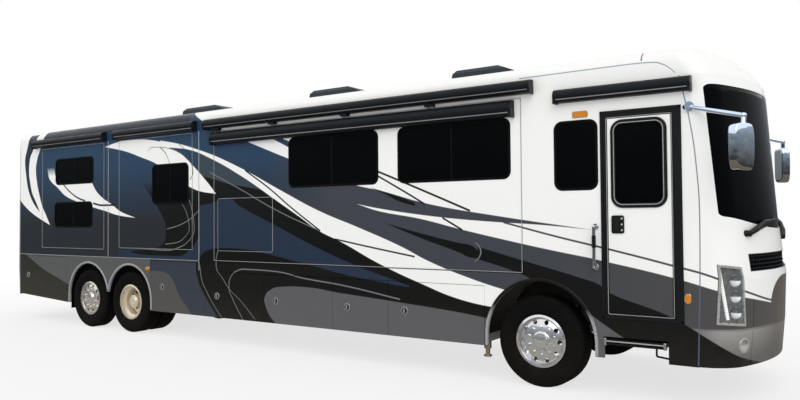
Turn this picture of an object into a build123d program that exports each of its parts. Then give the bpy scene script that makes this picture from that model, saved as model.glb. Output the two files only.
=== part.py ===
from build123d import *
from math import sqrt, atan2, cos, sin, pi
from collections import namedtuple
import os

# Driving dimensions, in millimetres. X runs forward, Y to the left, Z up, ground at zero.
LENGTH = 13690
WIDTH = 2590
FRONT_CAP_LEN = 635
REAR_CAP_LEN = 259
FRONT_OVERHANG = 2335
TAG_OVERHANG = 2605
TAG_SPACING = 1200
SKIRT_Z = 416
TAIL_Z = 500
BAY_TOP_Z = 1117
FLOOR_Z = 1280
DECK_T = 80
ROOF_TOP_Z = 3800
ROOF_CROWN_R = 5000
ROOF_EDGE_R = 150
WALL_T = 60
PANEL_T = 40
CAP_T = 50
ROOF_T = 80
GLASS_T = 8
GLASS_SET = 5
WINDOW_R = 85
SEAT_GAP = 0.3
MOVE_GAP = 6
HINGE_R = 14
PIN_R = 6
HALF_W = WIDTH / 2
FRONT_X = LENGTH / 2
FRONT_SEAM_X = FRONT_X - FRONT_CAP_LEN
REAR_SEAM_X = -FRONT_X + REAR_CAP_LEN

# Running gear.
FRONT_AXLE_X = FRONT_X - FRONT_OVERHANG
TAG_AXLE_X = -FRONT_X + TAG_OVERHANG
DRIVE_AXLE_X = TAG_AXLE_X + TAG_SPACING
TYRE_R = 522
TYRE_W = 300
BEAD_R = 285
TRACK_Y = 1133
DUAL_SPACING = 340
KINGPIN_Y = 860
SPINDLE_R = 45
FRONT_ARCH_R = TYRE_R + 128
REAR_ARCH_R = TYRE_R + 73

RAIL_Y = 430
RAIL_W = 80
RAIL_T = 12
RAIL_BOTTOM_Z = 860
DECK_BOTTOM_Z = FLOOR_Z - DECK_T

os.makedirs("parts", exist_ok=True)


def save(name, shape):
    solids = shape if isinstance(shape, list) else [shape]
    body = solids[0] if len(solids) == 1 else Compound(children=solids)
    export_step(body, f"parts/{name}.step")


def block(x0, x1, y0, y1, z0, z1):
    size = (abs(x1 - x0), abs(y1 - y0), abs(z1 - z0))
    return Pos((x0 + x1) / 2, (y0 + y1) / 2, (z0 + z1) / 2) * Box(*size)


def rod_y(x, z, r, y0, y1):
    return Pos(x, (y0 + y1) / 2, z) * Rot(90, 0, 0) * Cylinder(r, abs(y1 - y0))


def rod_z(x, y, r, z0, z1):
    return Pos(x, y, (z0 + z1) / 2) * Cylinder(r, abs(z1 - z0))


def side_plate(points, y0, y1):
    """A plate whose outline is drawn in X and Z, from one Y to another."""
    outline = make_face(Polyline(*[(x, y0, z) for x, z in points], close=True))
    return extrude(outline, amount=abs(y1 - y0), dir=(0, 1 if y1 > y0 else -1, 0))


def bow_points(half, top, bow_r, edge_r):
    """Where a shallow bow of radius bow_r runs into two tighter corner arcs."""
    side = top - bow_r + sqrt((bow_r - edge_r) ** 2 - (half - edge_r) ** 2)
    angle = atan2(side - top + bow_r, half - edge_r)
    mid = (half - edge_r + edge_r * cos(angle / 2), side + edge_r * sin(angle / 2))
    end = (half - edge_r + edge_r * cos(angle), side + edge_r * sin(angle))
    return side, mid, end


def bow_face(half, base, top, bow_r, edge_r, place):
    """A flat-based outline closed by the bow; place turns (across, up) into a point."""
    side, mid, end = bow_points(half, top, bow_r, edge_r)
    p = lambda a, b: place(a, b)
    edges = [
        Line(p(-half, base), p(-half, side)),
        ThreePointArc(p(-half, side), p(-mid[0], mid[1]), p(-end[0], end[1])),
        ThreePointArc(p(-end[0], end[1]), p(0, top), p(end[0], end[1])),
        ThreePointArc(p(end[0], end[1]), p(mid[0], mid[1]), p(half, side)),
        Line(p(half, side), p(half, base)),
        Line(p(half, base), p(-half, base)),
    ]
    return make_face(Wire(edges))


def body_prism(x0, x1, inset=0, base=0):
    """The coach's cross section, walls and crowned roof, drawn out along its length."""
    face = bow_face(HALF_W - inset, base, ROOF_TOP_Z - inset, ROOF_CROWN_R - inset,
                    ROOF_EDGE_R - inset, lambda a, b: (x0, a, b))
    return extrude(face, amount=x1 - x0, dir=(1, 0, 0))


WALL_TOP_Z = bow_points(HALF_W, ROOF_TOP_Z, ROOF_CROWN_R, ROOF_EDGE_R)[0]

# End caps: each row is a level, how far the middle of the cap reaches and its corner radius.
Level = namedtuple("Level", "z reach corner")
BROW_STEPS = [15 * i for i in range(1, 7)]


def brow(z, reach, top_z, top_reach, corner):
    """Levels of a quarter ellipse, from the upright face over to the roof."""
    turns = [a * pi / 180 for a in BROW_STEPS]
    return [Level(z + (top_z - z) * sin(t), top_reach + (reach - top_reach) * cos(t), corner) for t in turns]


FRONT_LEVELS = [Level(420, FRONT_X - 55, 420), Level(800, FRONT_X - 20, 420), Level(1300, FRONT_X, 420),
                Level(1780, FRONT_X - 60, 400), Level(3210, FRONT_X - 163, 340)]
FRONT_LEVELS += brow(3210, FRONT_X - 163, ROOF_TOP_Z + 5, FRONT_X - 1030, 300)
REAR_LEVELS = [Level(480, FRONT_X - 45, 180), Level(1000, FRONT_X - 13, 180), Level(3380, FRONT_X - 25, 180)]
REAR_LEVELS += brow(3380, FRONT_X - 25, ROOF_TOP_Z + 5, FRONT_X - 400, 180)
FRONT_BOW_R = 2600
REAR_BOW_R = 8000
CAP_BACK = FRONT_X - 2245


def cap_form(levels, bow_r, way, inset=0):
    """The cap's skin as a solid; inset draws every face in along its own normal."""
    faces = []
    for i, level in enumerate(levels):
        low, high = levels[max(i - 1, 0)], levels[min(i + 1, len(levels) - 1)]
        rise, run = high.z - low.z, high.reach - low.reach
        size = sqrt(rise * rise + run * run)
        reach = level.reach - inset * rise / size
        z = level.z + inset * run / size
        if i == 0:
            z = level.z - inset
        faces.append(bow_face(HALF_W - inset, CAP_BACK - inset, reach, bow_r - inset,
                              level.corner - inset, lambda a, b, h=z: (way * b, a, h)))
    return loft(faces, ruled=True)


def cap_skin(levels, bow_r, way, outer, inner):
    """The layer of a cap between two insets."""
    ends = (CAP_BACK - 600, FRONT_X + 100)
    x0, x1 = (ends[0], ends[1]) if way > 0 else (-ends[1], -ends[0])
    whole = cap_form(levels, bow_r, way, outer) & body_prism(x0, x1, outer)
    return whole - (cap_form(levels, bow_r, way, inner) & body_prism(x0, x1, inner, -100))


def end_prism(points, x0, x1, corner=0, grow=0):
    """An outline drawn in Y and Z, drawn out along X; grow offsets it outward."""
    face = make_face(Polyline(*[(0, y, z) for y, z in points], close=True))
    if corner:
        face = fillet(face.vertices(), corner)
    if grow:
        face = offset(face, grow, kind=Kind.INTERSECTION)
    return extrude(Pos(x0, 0, 0) * face, amount=x1 - x0, dir=(1, 0, 0))


# Wall edges beside the caps.
# Each row is how far the edge leans in from the seam, and its height.
FRONT_LEAN = [(0, 2050), (80, 3180), (125, 3290), (200, 3400), (330, 3475), (510, WALL_TOP_Z)]
REAR_LEAN = [(0, 3400), (22, 3450), (66, 3490), (135, WALL_TOP_Z)]
FRONT_EDGE = [(FRONT_SEAM_X - lean, z) for lean, z in FRONT_LEAN]
REAR_EDGE = [(REAR_SEAM_X + lean, z) for lean, z in REAR_LEAN]
ROOF_FRONT_X = FRONT_EDGE[-1][0]
ROOF_REAR_X = REAR_EDGE[-1][0]

# Windows, doors and slide-out rooms, in X and Z on the side walls. The entry door stands back from
# the front seam, the rear rooms from the rear seam, and windows from their room's rear end.
Hole = namedtuple("Hole", "x0 x1 z0 z1")


def from_seam(x0, x1, z0, z1):
    return Hole(FRONT_SEAM_X - x0, FRONT_SEAM_X - x1, z0, z1)


DOOR_FRAME = from_seam(970, 130, 840, 3060)
FRAME_SIDE = (80, 105)
DOOR_LEAF = Hole(DOOR_FRAME.x0 + FRAME_SIDE[0], DOOR_FRAME.x1 - FRAME_SIDE[1], 900, 2975)
DOOR_WINDOW = Hole(DOOR_LEAF.x0 + 72, DOOR_LEAF.x1 - 75, 2055, 2920)
RIGHT_FIXED = [from_seam(1485, 1005, 2228, 2980)]
LEFT_FIXED = [from_seam(1460, 560, 2228, 2980), from_seam(2710, 1910, 2388, 3085)]

Room = namedtuple("Room", "name side x0 x1 z0 z1 windows")
Pane = namedtuple("Pane", "start wide z0 z1")
ROOM_DEPTH = 800
ROOM_T = 40
ROOM_FACE_T = 50
MAIN_REAR_X = REAR_SEAM_X + 5699
MAIN_FRONT_X = FRONT_SEAM_X - 1894
LEFT_REAR_X = REAR_SEAM_X + 1986
LEFT_FRONT_X = FRONT_SEAM_X - 3310
MAIN_BLANK_W = 1587
MAIN_POST_W = 328
MAIN_END_W = 144
LEFT_PANE_W = 1300
LEFT_END_W = 500
MAIN_LONG = MAIN_FRONT_X - MAIN_REAR_X
LEFT_LONG = LEFT_FRONT_X - LEFT_REAR_X
MAIN_PANE_W = (MAIN_LONG - MAIN_BLANK_W - MAIN_POST_W - MAIN_END_W) / 2
ROOMS = [
    Room("slide_rear", -1, REAR_SEAM_X + 804, REAR_SEAM_X + 2821, 1415, 3320,
         [Pane(470, 1216, 2618, 3090), Pane(441, 1215, 1813, 2270)]),
    Room("slide_mid", -1, REAR_SEAM_X + 3261, REAR_SEAM_X + 5196, 1447, 3320, [Pane(925, 909, 2199, 2845)]),
    Room("slide_main", -1, MAIN_REAR_X, MAIN_FRONT_X, 1290, 3300,
         [Pane(start, MAIN_PANE_W, 2384, 3081)
          for start in (MAIN_BLANK_W, MAIN_BLANK_W + MAIN_PANE_W + MAIN_POST_W)]),
    Room("slide_left", 1, LEFT_REAR_X, LEFT_FRONT_X, 1290, 3300,
         [Pane(start, LEFT_PANE_W, 2388, 3085)
          for start in (LEFT_END_W, (LEFT_LONG - LEFT_PANE_W) / 2, LEFT_LONG - LEFT_PANE_W - LEFT_END_W)]),
]
ROOMS = [room._replace(windows=[Hole(room.x0 + p.start, room.x0 + p.start + p.wide, p.z0, p.z1)
                                for p in room.windows]) for room in ROOMS]

# Baggage doors fill the run between the arches, each with its share of it, all hinged forward.
Bay = namedtuple("Bay", "name side x0 x1 top")
BAY_REAR_X = DRIVE_AXLE_X + REAR_ARCH_R - 7
BAY_FRONT_X = FRONT_AXLE_X - FRONT_ARCH_R - 40
BAY_SHARES = [1357, 1286, 1304, 925, 1400]
TALL_BAY_Z = 1250
bay_edges = [BAY_REAR_X]
for share in BAY_SHARES:
    bay_edges.append(bay_edges[-1] + (BAY_FRONT_X - BAY_REAR_X) * share / sum(BAY_SHARES))
BAYS = [Bay("bay_door_right_0", -1, REAR_SEAM_X + MOVE_GAP, TAG_AXLE_X - REAR_ARCH_R - 100, TALL_BAY_Z)]
for i in range(len(BAY_SHARES)):
    top = BAY_TOP_Z if i else TALL_BAY_Z
    BAYS.append(Bay(f"bay_door_right_{i + 1}", -1, bay_edges[i], bay_edges[i + 1], top))
for i in (1, 2, 3):
    BAYS.append(Bay(f"bay_door_left_{i}", 1, bay_edges[i], bay_edges[i + 1], BAY_TOP_Z))
TAIL_RISE = [(BAYS[0].x1 + 5, SKIRT_Z), (REAR_SEAM_X, TAIL_Z)]


def skirt_bottom(x):
    """The skirt's lower edge, which rises behind the last wheel."""
    (xa, za), (xb, zb) = TAIL_RISE
    return za if x > xa else za + (zb - za) * (x - xa) / (xb - xa)


def rounded(hole, y0, y1, r, grow=0):
    """A window shape with round corners, from one Y to another; grow offsets it outward."""
    face = RectangleRounded(hole.x1 - hole.x0 + 2 * grow, hole.z1 - hole.z0 + 2 * grow, r + grow)
    face = Pos((hole.x0 + hole.x1) / 2, y0, (hole.z0 + hole.z1) / 2) * Rot(90, 0, 0) * face
    return extrude(face, amount=abs(y1 - y0), dir=(0, 1 if y1 > y0 else -1, 0))


def pane(hole, side):
    y = side * (HALF_W - GLASS_SET)
    return rounded(hole, y, y - side * GLASS_T, WINDOW_R, -SEAT_GAP)


def window_cut(hole, side, depth):
    return rounded(hole, side * (HALF_W + 50), side * (HALF_W - depth), WINDOW_R)


def cut_through(hole, side, depth):
    return block(hole.x0, hole.x1, side * (HALF_W + 50), side * (HALF_W - depth), hole.z0, hole.z1)


# Chassis: two channel rails, their crossmembers, and the tow receiver on its drop legs.
RAIL_X = (REAR_SEAM_X + 106, FRONT_SEAM_X + 40)
RAIL_WEB_Y = RAIL_Y + RAIL_W / 2 - RAIL_T
ENGINE_X = (REAR_SEAM_X + 286, REAR_SEAM_X + 1586)
CROSSMEMBERS = 9
CROSS_W = 80
RECEIVER_Z = 430
RECEIVER_OUT = 76
RECEIVER_IN = 51.5
RECEIVER_MOUTH_X = -FRONT_X + 25
RECEIVER_DEPTH = 260
RECEIVER_PIN_R = 8.2
RECEIVER_PIN_X = RECEIVER_MOUTH_X + 65
rail_blocks, frame = [], None
for s in (-1, 1):
    rail = block(*RAIL_X, s * (RAIL_Y - RAIL_W / 2), s * (RAIL_Y + RAIL_W / 2), RAIL_BOTTOM_Z, DECK_BOTTOM_Z)
    rail_blocks.append(rail)
    rail -= block(RAIL_X[0] - 5, RAIL_X[1] + 5, s * (RAIL_Y - RAIL_W / 2 - 5), s * RAIL_WEB_Y,
                  RAIL_BOTTOM_Z + RAIL_T, DECK_BOTTOM_Z - RAIL_T)
    frame = rail if frame is None else frame + rail
reach = RAIL_WEB_Y + RAIL_T / 2
ahead, last = ENGINE_X[1] + 100, RAIL_X[1] - CROSS_W / 2
members = [ahead + (last - ahead) * i / (CROSSMEMBERS - 1) for i in range(CROSSMEMBERS)]
for x in [RAIL_X[0] + CROSS_W / 2] + members:
    frame += block(x - CROSS_W / 2, x + CROSS_W / 2, -reach, reach, 930, 1130)
drop_z = RECEIVER_Z - 40
for s in (-1, 1):
    frame += block(RAIL_X[0], RAIL_X[0] + 150, s * (RAIL_Y - 40), s * (RAIL_Y + 40), drop_z, RAIL_BOTTOM_Z)
frame += block(RAIL_X[0] + 30, RAIL_X[0] + 110, -RAIL_Y, RAIL_Y, drop_z, drop_z + 80)
half = RECEIVER_OUT / 2
frame += block(RECEIVER_MOUTH_X, RAIL_X[0] + 80, -half, half, RECEIVER_Z - half, RECEIVER_Z + half)
half = RECEIVER_IN / 2
frame -= block(RECEIVER_MOUTH_X - 10, RECEIVER_MOUTH_X + RECEIVER_DEPTH, -half, half,
               RECEIVER_Z - half, RECEIVER_Z + half)
frame -= rod_y(RECEIVER_PIN_X, RECEIVER_Z, RECEIVER_PIN_R, -60, 60)
save("chassis_frame", frame)

# Bay floor with a bulkhead at each baggage door's edge.
PAN_Z = 445
PAN_T = 20
PAN_Y = HALF_W - 55
pan = block(BAY_REAR_X - 8, BAY_FRONT_X + 5, -PAN_Y, PAN_Y, PAN_Z, PAN_Z + PAN_T)
for x in [BAY_REAR_X + 2] + bay_edges[1:-1] + [BAY_FRONT_X - 5]:
    pan += block(x - PAN_T / 2, x + PAN_T / 2, -PAN_Y, PAN_Y, PAN_Z, DECK_BOTTOM_Z)
for rail in rail_blocks:
    pan -= rail
pan -= block(BAY_REAR_X - 60, BAY_FRONT_X + 60, -RAIL_Y, RAIL_Y, RAIL_BOTTOM_Z, DECK_BOTTOM_Z + 1)
save("bay_pan", pan)

# Floor deck with the entry stairwell and the runners that carry the slide-out rooms.
STAIR = Hole(DOOR_LEAF.x0 - MOVE_GAP, DOOR_LEAF.x1 + MOVE_GAP, 860, FLOOR_Z)
STAIR_Y = -600
STEP_T = 20
RUNNER_W = 80
inner_y = HALF_W - WALL_T
deck = block(REAR_SEAM_X + 51, FRONT_SEAM_X, -inner_y, inner_y, DECK_BOTTOM_Z, FLOOR_Z)
deck += block(FRONT_SEAM_X, FRONT_SEAM_X + 350, -900, 900, DECK_BOTTOM_Z, FLOOR_Z)
deck -= block(STAIR.x0 - STEP_T, STAIR.x1 + STEP_T, -inner_y - 5, STAIR_Y + STEP_T,
              DECK_BOTTOM_Z - 5, FLOOR_Z + 5)
steps = [(-inner_y, STAIR.z0), (-880, STAIR.z0), (-880, 1060), (-580, 1060), (-580, FLOOR_Z),
         (-600, FLOOR_Z), (-600, 1080), (-900, 1080), (-900, STAIR.z0 + STEP_T),
         (-inner_y, STAIR.z0 + STEP_T)]
well = end_prism(steps, STAIR.x0 - STEP_T, STAIR.x1 + STEP_T)
for x in (STAIR.x0 - STEP_T, STAIR.x1):
    well += block(x, x + STEP_T, -inner_y, -580, STAIR.z0, FLOOR_Z)
deck += well
for room in ROOMS:
    count = 3 if room.x1 - room.x0 > 3000 else 2
    for i in range(count):
        x = room.x0 + 300 + (room.x1 - room.x0 - 600) * i / (count - 1)
        deck += block(x - RUNNER_W / 2, x + RUNNER_W / 2, room.side * (inner_y - 10),
                      room.side * (HALF_W - ROOM_DEPTH + 25), FLOOR_Z, room.z0 - SEAT_GAP)
save("floor_deck", deck)

# Side walls, each one sandwich panel with its openings.
outline = [(REAR_SEAM_X, FLOOR_Z), (FRONT_SEAM_X, FLOOR_Z)] + FRONT_EDGE + REAR_EDGE[::-1]
for name, side, fixed in (("wall_right", -1, RIGHT_FIXED), ("wall_left", 1, LEFT_FIXED)):
    wall = side_plate(outline, side * HALF_W, side * (HALF_W - WALL_T))
    for hole in fixed:
        wall -= window_cut(hole, side, WALL_T + 10)
    for room in ROOMS:
        if room.side == side:
            g = MOVE_GAP
            base = room.z0 - g if room.z0 - g > FLOOR_Z + 20 else FLOOR_Z - 5
            wall -= cut_through(Hole(room.x0 - g, room.x1 + g, base, room.z1 + g), side, WALL_T + 10)
    if side < 0:
        wall -= cut_through(DOOR_FRAME, side, WALL_T + 10)
    save(name, wall)
save("fixed_windows", [pane(h, -1) for h in RIGHT_FIXED] + [pane(h, 1) for h in LEFT_FIXED])

# Crowned roof panel between the two caps.
roof = body_prism(ROOF_REAR_X, ROOF_FRONT_X) - body_prism(ROOF_REAR_X - 10, ROOF_FRONT_X + 10, ROOF_T, -10)
roof -= block(ROOF_REAR_X - 20, ROOF_FRONT_X + 20, -HALF_W - 50, HALF_W + 50, -20, WALL_TOP_Z)
save("roof", roof)

# Front cap: the screen, lamp, fog and grille openings are all cut from one lofted skin,
# the grille's slats bridge its slot, and grooves mark the bumper's joints.
SCREEN_R = 45
SCREEN_SIDE = [(1230, 1925), (1258, 3255)]
SCREEN_BASE = [(800, 1845), (400, 1800), (0, 1785)]
SCREEN_HEAD = [(800, 3252), (400, 3255), (0, 3256)]
right_half = [(-y, z) for y, z in SCREEN_SIDE[:1] + SCREEN_BASE]
SCREEN = right_half + [(-y, z) for y, z in right_half[-2::-1]]
head = [(y, z) for y, z in SCREEN_SIDE[1:] + SCREEN_HEAD]
SCREEN += head + [(-y, z) for y, z in head[-2::-1]]
LAMP = [(-1268, 850), (-1048, 825), (-1100, 1415), (-1262, 1442)]
FOG_Y, FOG_Z, FOG_R = 1053, 634, 52
SLOT_Y, SLOT_Z, SLOT_R = 965, (1372, 1536), 30
SLATS = 4
SLAT_T = 10
CREASE_Z, CREASE_W, CREASE_DEEP = 790, 14, 8
BUMPER_JOINT_Y = 926
BROW_X = (FRONT_X - 1045, FRONT_X + 155)
NOSE_X = (FRONT_SEAM_X + 20, FRONT_X + 155)
front_cut = side_plate([(CAP_BACK - 600, 0), (FRONT_SEAM_X, 0)] + FRONT_EDGE
                       + [(ROOF_FRONT_X, 4200), (CAP_BACK - 600, 4200)], -HALF_W - 205, HALF_W + 205)
front_skin = cap_skin(FRONT_LEVELS, FRONT_BOW_R, 1, 0, CAP_T) - front_cut
lamp_holes = [[(s * y, z) for y, z in LAMP] for s in (1, -1)]
front_cap = front_skin - end_prism(SCREEN, *BROW_X, corner=SCREEN_R)
lamps = []
for points in lamp_holes:
    front_cap -= end_prism(points, *NOSE_X, grow=SEAT_GAP)
    lamps.append(front_skin & end_prism(points, *NOSE_X))
for s in (-1, 1):
    tube = Pos(FRONT_X - 145, s * FOG_Y, FOG_Z) * Rot(0, 90, 0)
    front_cap -= tube * Cylinder(FOG_R + SEAT_GAP, 900)
    lamps.append(front_skin & tube * Cylinder(FOG_R, 900))
slot = [(-SLOT_Y, SLOT_Z[0]), (SLOT_Y, SLOT_Z[0]), (SLOT_Y, SLOT_Z[1]), (-SLOT_Y, SLOT_Z[1])]
front_cap -= end_prism(slot, *NOSE_X, corner=SLOT_R)
slat_layer = cap_skin(FRONT_LEVELS, FRONT_BOW_R, 1, 14, 34) - front_cut
for i in range(SLATS):
    z = SLOT_Z[0] + (SLOT_Z[1] - SLOT_Z[0]) * (i + 0.5) / SLATS
    front_cap += slat_layer & block(*NOSE_X, -SLOT_Y - 6, SLOT_Y + 6, z - SLAT_T / 2, z + SLAT_T / 2)
rind = cap_skin(FRONT_LEVELS, FRONT_BOW_R, 1, -2, CREASE_DEEP) - front_cut
front_cap -= rind & block(*NOSE_X, -HALF_W - 5, HALF_W + 5, CREASE_Z - CREASE_W / 2, CREASE_Z + CREASE_W / 2)
for s in (-1, 1):
    y = s * BUMPER_JOINT_Y
    front_cap -= rind & block(*NOSE_X, y - CREASE_W / 2, y + CREASE_W / 2, 400, SLOT_Z[0] - 280)
save("front_cap", front_cap)
save("headlamps", lamps)
glass_skin = cap_skin(FRONT_LEVELS, FRONT_BOW_R, 1, GLASS_SET, GLASS_SET + GLASS_T) - front_cut
save("windshield", glass_skin & end_prism(SCREEN, *BROW_X, corner=SCREEN_R, grow=-SEAT_GAP))

# Rear cap with the louvred engine door and the tail lamps.
DOOR_HALF, DOOR_BASE, DOOR_HEAD = 600, 640, 1600
ENGINE_AXIS = (-FRONT_X + 30, DOOR_HEAD - 26)
TAIL_LAMP = [(-1210, 950), (-1060, 950), (-1060, 1560), (-1210, 1560)]
LOUVRES, LOUVRE_Y, LOUVRE_H, LOUVRE_STEP, LOUVRE_R = 8, 430, 34, 84, 12
TAIL_X = (-FRONT_X - 155, REAR_SEAM_X + 186)
g = MOVE_GAP
hole = [(-DOOR_HALF, DOOR_BASE), (DOOR_HALF, DOOR_BASE), (DOOR_HALF, DOOR_HEAD), (-DOOR_HALF, DOOR_HEAD)]
leaf_top = DOOR_HEAD - 34
leaf = [(-DOOR_HALF + g, DOOR_BASE + g), (DOOR_HALF - g, DOOR_BASE + g), (DOOR_HALF - g, leaf_top),
        (-DOOR_HALF + g, leaf_top)]
rear_cut = side_plate([(-CAP_BACK + 600, 0), (REAR_SEAM_X, 0)] + REAR_EDGE
                      + [(ROOF_REAR_X, 4200), (-CAP_BACK + 600, 4200)], -HALF_W - 205, HALF_W + 205)
rear_skin = cap_skin(REAR_LEVELS, REAR_BOW_R, -1, 0, CAP_T) - rear_cut
rear_cap = rear_skin - end_prism(hole, *TAIL_X)
tails = []
for s in (1, -1):
    points = [(s * y, z) for y, z in TAIL_LAMP]
    rear_cap -= end_prism(points, *TAIL_X, grow=SEAT_GAP)
    tails.append(rear_skin & end_prism(points, *TAIL_X))
ax, az = ENGINE_AXIS
for s in (-1, 1):
    rear_cap += block(ax - 9, ax + 55, s * DOOR_HALF, s * (DOOR_HALF + 30), az - 14, az + 10)
    rear_cap += rod_y(ax, az, PIN_R, s * (DOOR_HALF - 30), s * (DOOR_HALF + 25))
save("rear_cap", rear_cap)
save("tail_lamps", tails)
engine_door = rear_skin & end_prism(leaf, *TAIL_X)
for i in range(LOUVRES):
    z = DOOR_BASE + 130 + LOUVRE_STEP * i
    louvre = [(-LOUVRE_Y, z), (LOUVRE_Y, z), (LOUVRE_Y, z + LOUVRE_H), (-LOUVRE_Y, z + LOUVRE_H)]
    engine_door -= end_prism(louvre, *TAIL_X, corner=LOUVRE_R)
engine_door += block(ax - 5, ax + 30, -DOOR_HALF + 15, DOOR_HALF - 15, az - 24, az)
engine_door += rod_y(ax, az, PIN_R + 3, -DOOR_HALF + g, DOOR_HALF - g)
for s in (-1, 1):
    engine_door -= rod_y(ax, az, PIN_R + SEAT_GAP, s * (DOOR_HALF - 35), s * DOOR_HALF)
save("engine_door", engine_door)

# Skirts below the floor line, with wheel arches and the door openings.
Arch = namedtuple("Arch", "x z r")
ARCHES = [Arch(FRONT_AXLE_X, TYRE_R + 33, FRONT_ARCH_R), Arch(DRIVE_AXLE_X, TYRE_R + 43, REAR_ARCH_R),
          Arch(TAG_AXLE_X, TYRE_R + 43, REAR_ARCH_R)]
STEP_GAP = Hole(DOOR_FRAME.x0 + 10, DOOR_FRAME.x1 - 160, 0, 645)
side_outline = [(REAR_SEAM_X, TAIL_Z), TAIL_RISE[0], (FRONT_SEAM_X, SKIRT_Z), (FRONT_SEAM_X, FLOOR_Z),
                (REAR_SEAM_X, FLOOR_Z)]
skirts = []
for side in (-1, 1):
    out_y, in_y = side * (HALF_W + 105), side * (HALF_W - 95)
    panel = side_plate(side_outline, side * HALF_W, side * (HALF_W - PANEL_T))
    for arch in ARCHES:
        panel -= rod_y(arch.x, arch.z, arch.r, out_y, in_y)
        panel -= block(arch.x - arch.r, arch.x + arch.r, out_y, in_y, 0, arch.z)
    panel -= block(TAG_AXLE_X, DRIVE_AXLE_X, out_y, in_y, 0, TYRE_R + 148)
    for bay in BAYS:
        if bay.side == side:
            tall = bay.top + MOVE_GAP
            panel -= block(bay.x0 - MOVE_GAP / 2, bay.x1 + MOVE_GAP / 2, out_y, in_y, 0, tall)
            x, y = bay.x1 - HINGE_R, side * (HALF_W - HINGE_R)
            panel += rod_z(x, y, PIN_R, bay.top - 25, tall)
    if side < 0:
        panel -= block(DOOR_FRAME.x0, DOOR_FRAME.x1, out_y, in_y, DOOR_FRAME.z0, FLOOR_Z + 120)
        panel -= block(STEP_GAP.x0, STEP_GAP.x1, out_y, in_y, STEP_GAP.z0, STEP_GAP.z1)
    skirts += panel.solids()
save("skirts", skirts)

for bay in BAYS:
    g = MOVE_GAP / 2
    a, b = bay.x0 + g, bay.x1 - g
    leaf = side_plate([(a, skirt_bottom(a)), (b, skirt_bottom(b)), (b, bay.top), (a, bay.top)],
                      bay.side * HALF_W, bay.side * (HALF_W - PANEL_T))
    corner = leaf.edges().filter_by(Axis.Z).sort_by(lambda e: e.center().X * 10 + bay.side * e.center().Y)[-1]
    leaf = fillet(corner, HINGE_R - g)
    x, y = bay.x1 - HINGE_R, bay.side * (HALF_W - HINGE_R)
    leaf -= rod_z(x, y, PIN_R + SEAT_GAP, bay.top - 30, bay.top + 10)
    save(bay.name, leaf)

# Slide-out rooms, open on the inner side: a face with its windows, and behind it a floor, a roof and
# two end walls. They are laminated panels, each with a glue line where it meets the next.
for room in ROOMS:
    s = room.side
    face = block(room.x0, room.x1, s * HALF_W, s * (HALF_W - ROOM_FACE_T), room.z0, room.z1)
    for hole in room.windows:
        face -= window_cut(hole, s, ROOM_FACE_T + 20)
    deep = s * (HALF_W - ROOM_FACE_T - SEAT_GAP), s * (HALF_W - ROOM_DEPTH)
    panels = [face]
    for z in (room.z0, room.z1 - ROOM_T):
        panels.append(block(room.x0, room.x1, *deep, z, z + ROOM_T))
    for x in (room.x0, room.x1 - ROOM_T):
        panels.append(block(x, x + ROOM_T, *deep, room.z0 + ROOM_T + SEAT_GAP, room.z1 - ROOM_T - SEAT_GAP))
    save(room.name, panels)
    save(room.name + "_glass", [pane(h, s) for h in room.windows])


def awning(x0, x1, z0, z1, side, depth):
    """A rolled awning in its cassette: a round-nosed extrusion with a lead-rail groove and end caps."""
    high, mid = z1 - z0, (z0 + z1) / 2
    y = lambda out: side * (HALF_W + out)
    flat = depth * 0.52
    edges = [Line((x0, y(0), z0), (x0, y(flat), z0)),
             ThreePointArc((x0, y(flat), z0), (x0, y(depth), mid - 0.08 * high), (x0, y(flat), z1)),
             Line((x0, y(flat), z1), (x0, y(0), z1)), Line((x0, y(0), z1), (x0, y(0), z0))]
    case = extrude(make_face(Wire(edges)), amount=x1 - x0, dir=(1, 0, 0))
    case -= block(x0 + 30, x1 - 30, y(depth * 0.62), y(depth + 5), z0 + 0.2 * high, z0 + 0.2 * high + 12)
    for x in (x0, x1 - 30):
        case += block(x, x + 30, y(0), y(depth * 0.9), z0 - 8, z0 + 0.3 * high)
    return case


# Awnings: a topper on the main room, the patio and door awnings, and one over each other room.
main, rear, middle, left = ROOMS[2], ROOMS[0], ROOMS[1], ROOMS[3]
save("topper_main", awning(main.x0 + 17, main.x1 - 81, 3092, 3282, -1, 120))
patio = awning(main.x0 - 133, main.x1 + 160, 3340, 3492, -1, 130)
for x in (main.x0 + 110, main.x0 + 1290, main.x0 + 2640, main.x0 + 3990):
    if x < main.x1:
        patio += block(x - 60, x + 60, -HALF_W, -HALF_W - 70, main.z1 + MOVE_GAP + 4, 3345)
save("awnings", [
    patio,
    awning(FRONT_SEAM_X - 1465, FRONT_SEAM_X - 20, 3190, 3338, -1, 110),
    awning(rear.x0 - 218, rear.x1 + 75, 3345, 3500, -1, 120),
    awning(middle.x0 - 55, middle.x1 + 110, 3345, 3500, -1, 120),
    awning(left.x0 - 60, left.x1 + 60, 3345, 3500, 1, 120),
])

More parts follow.
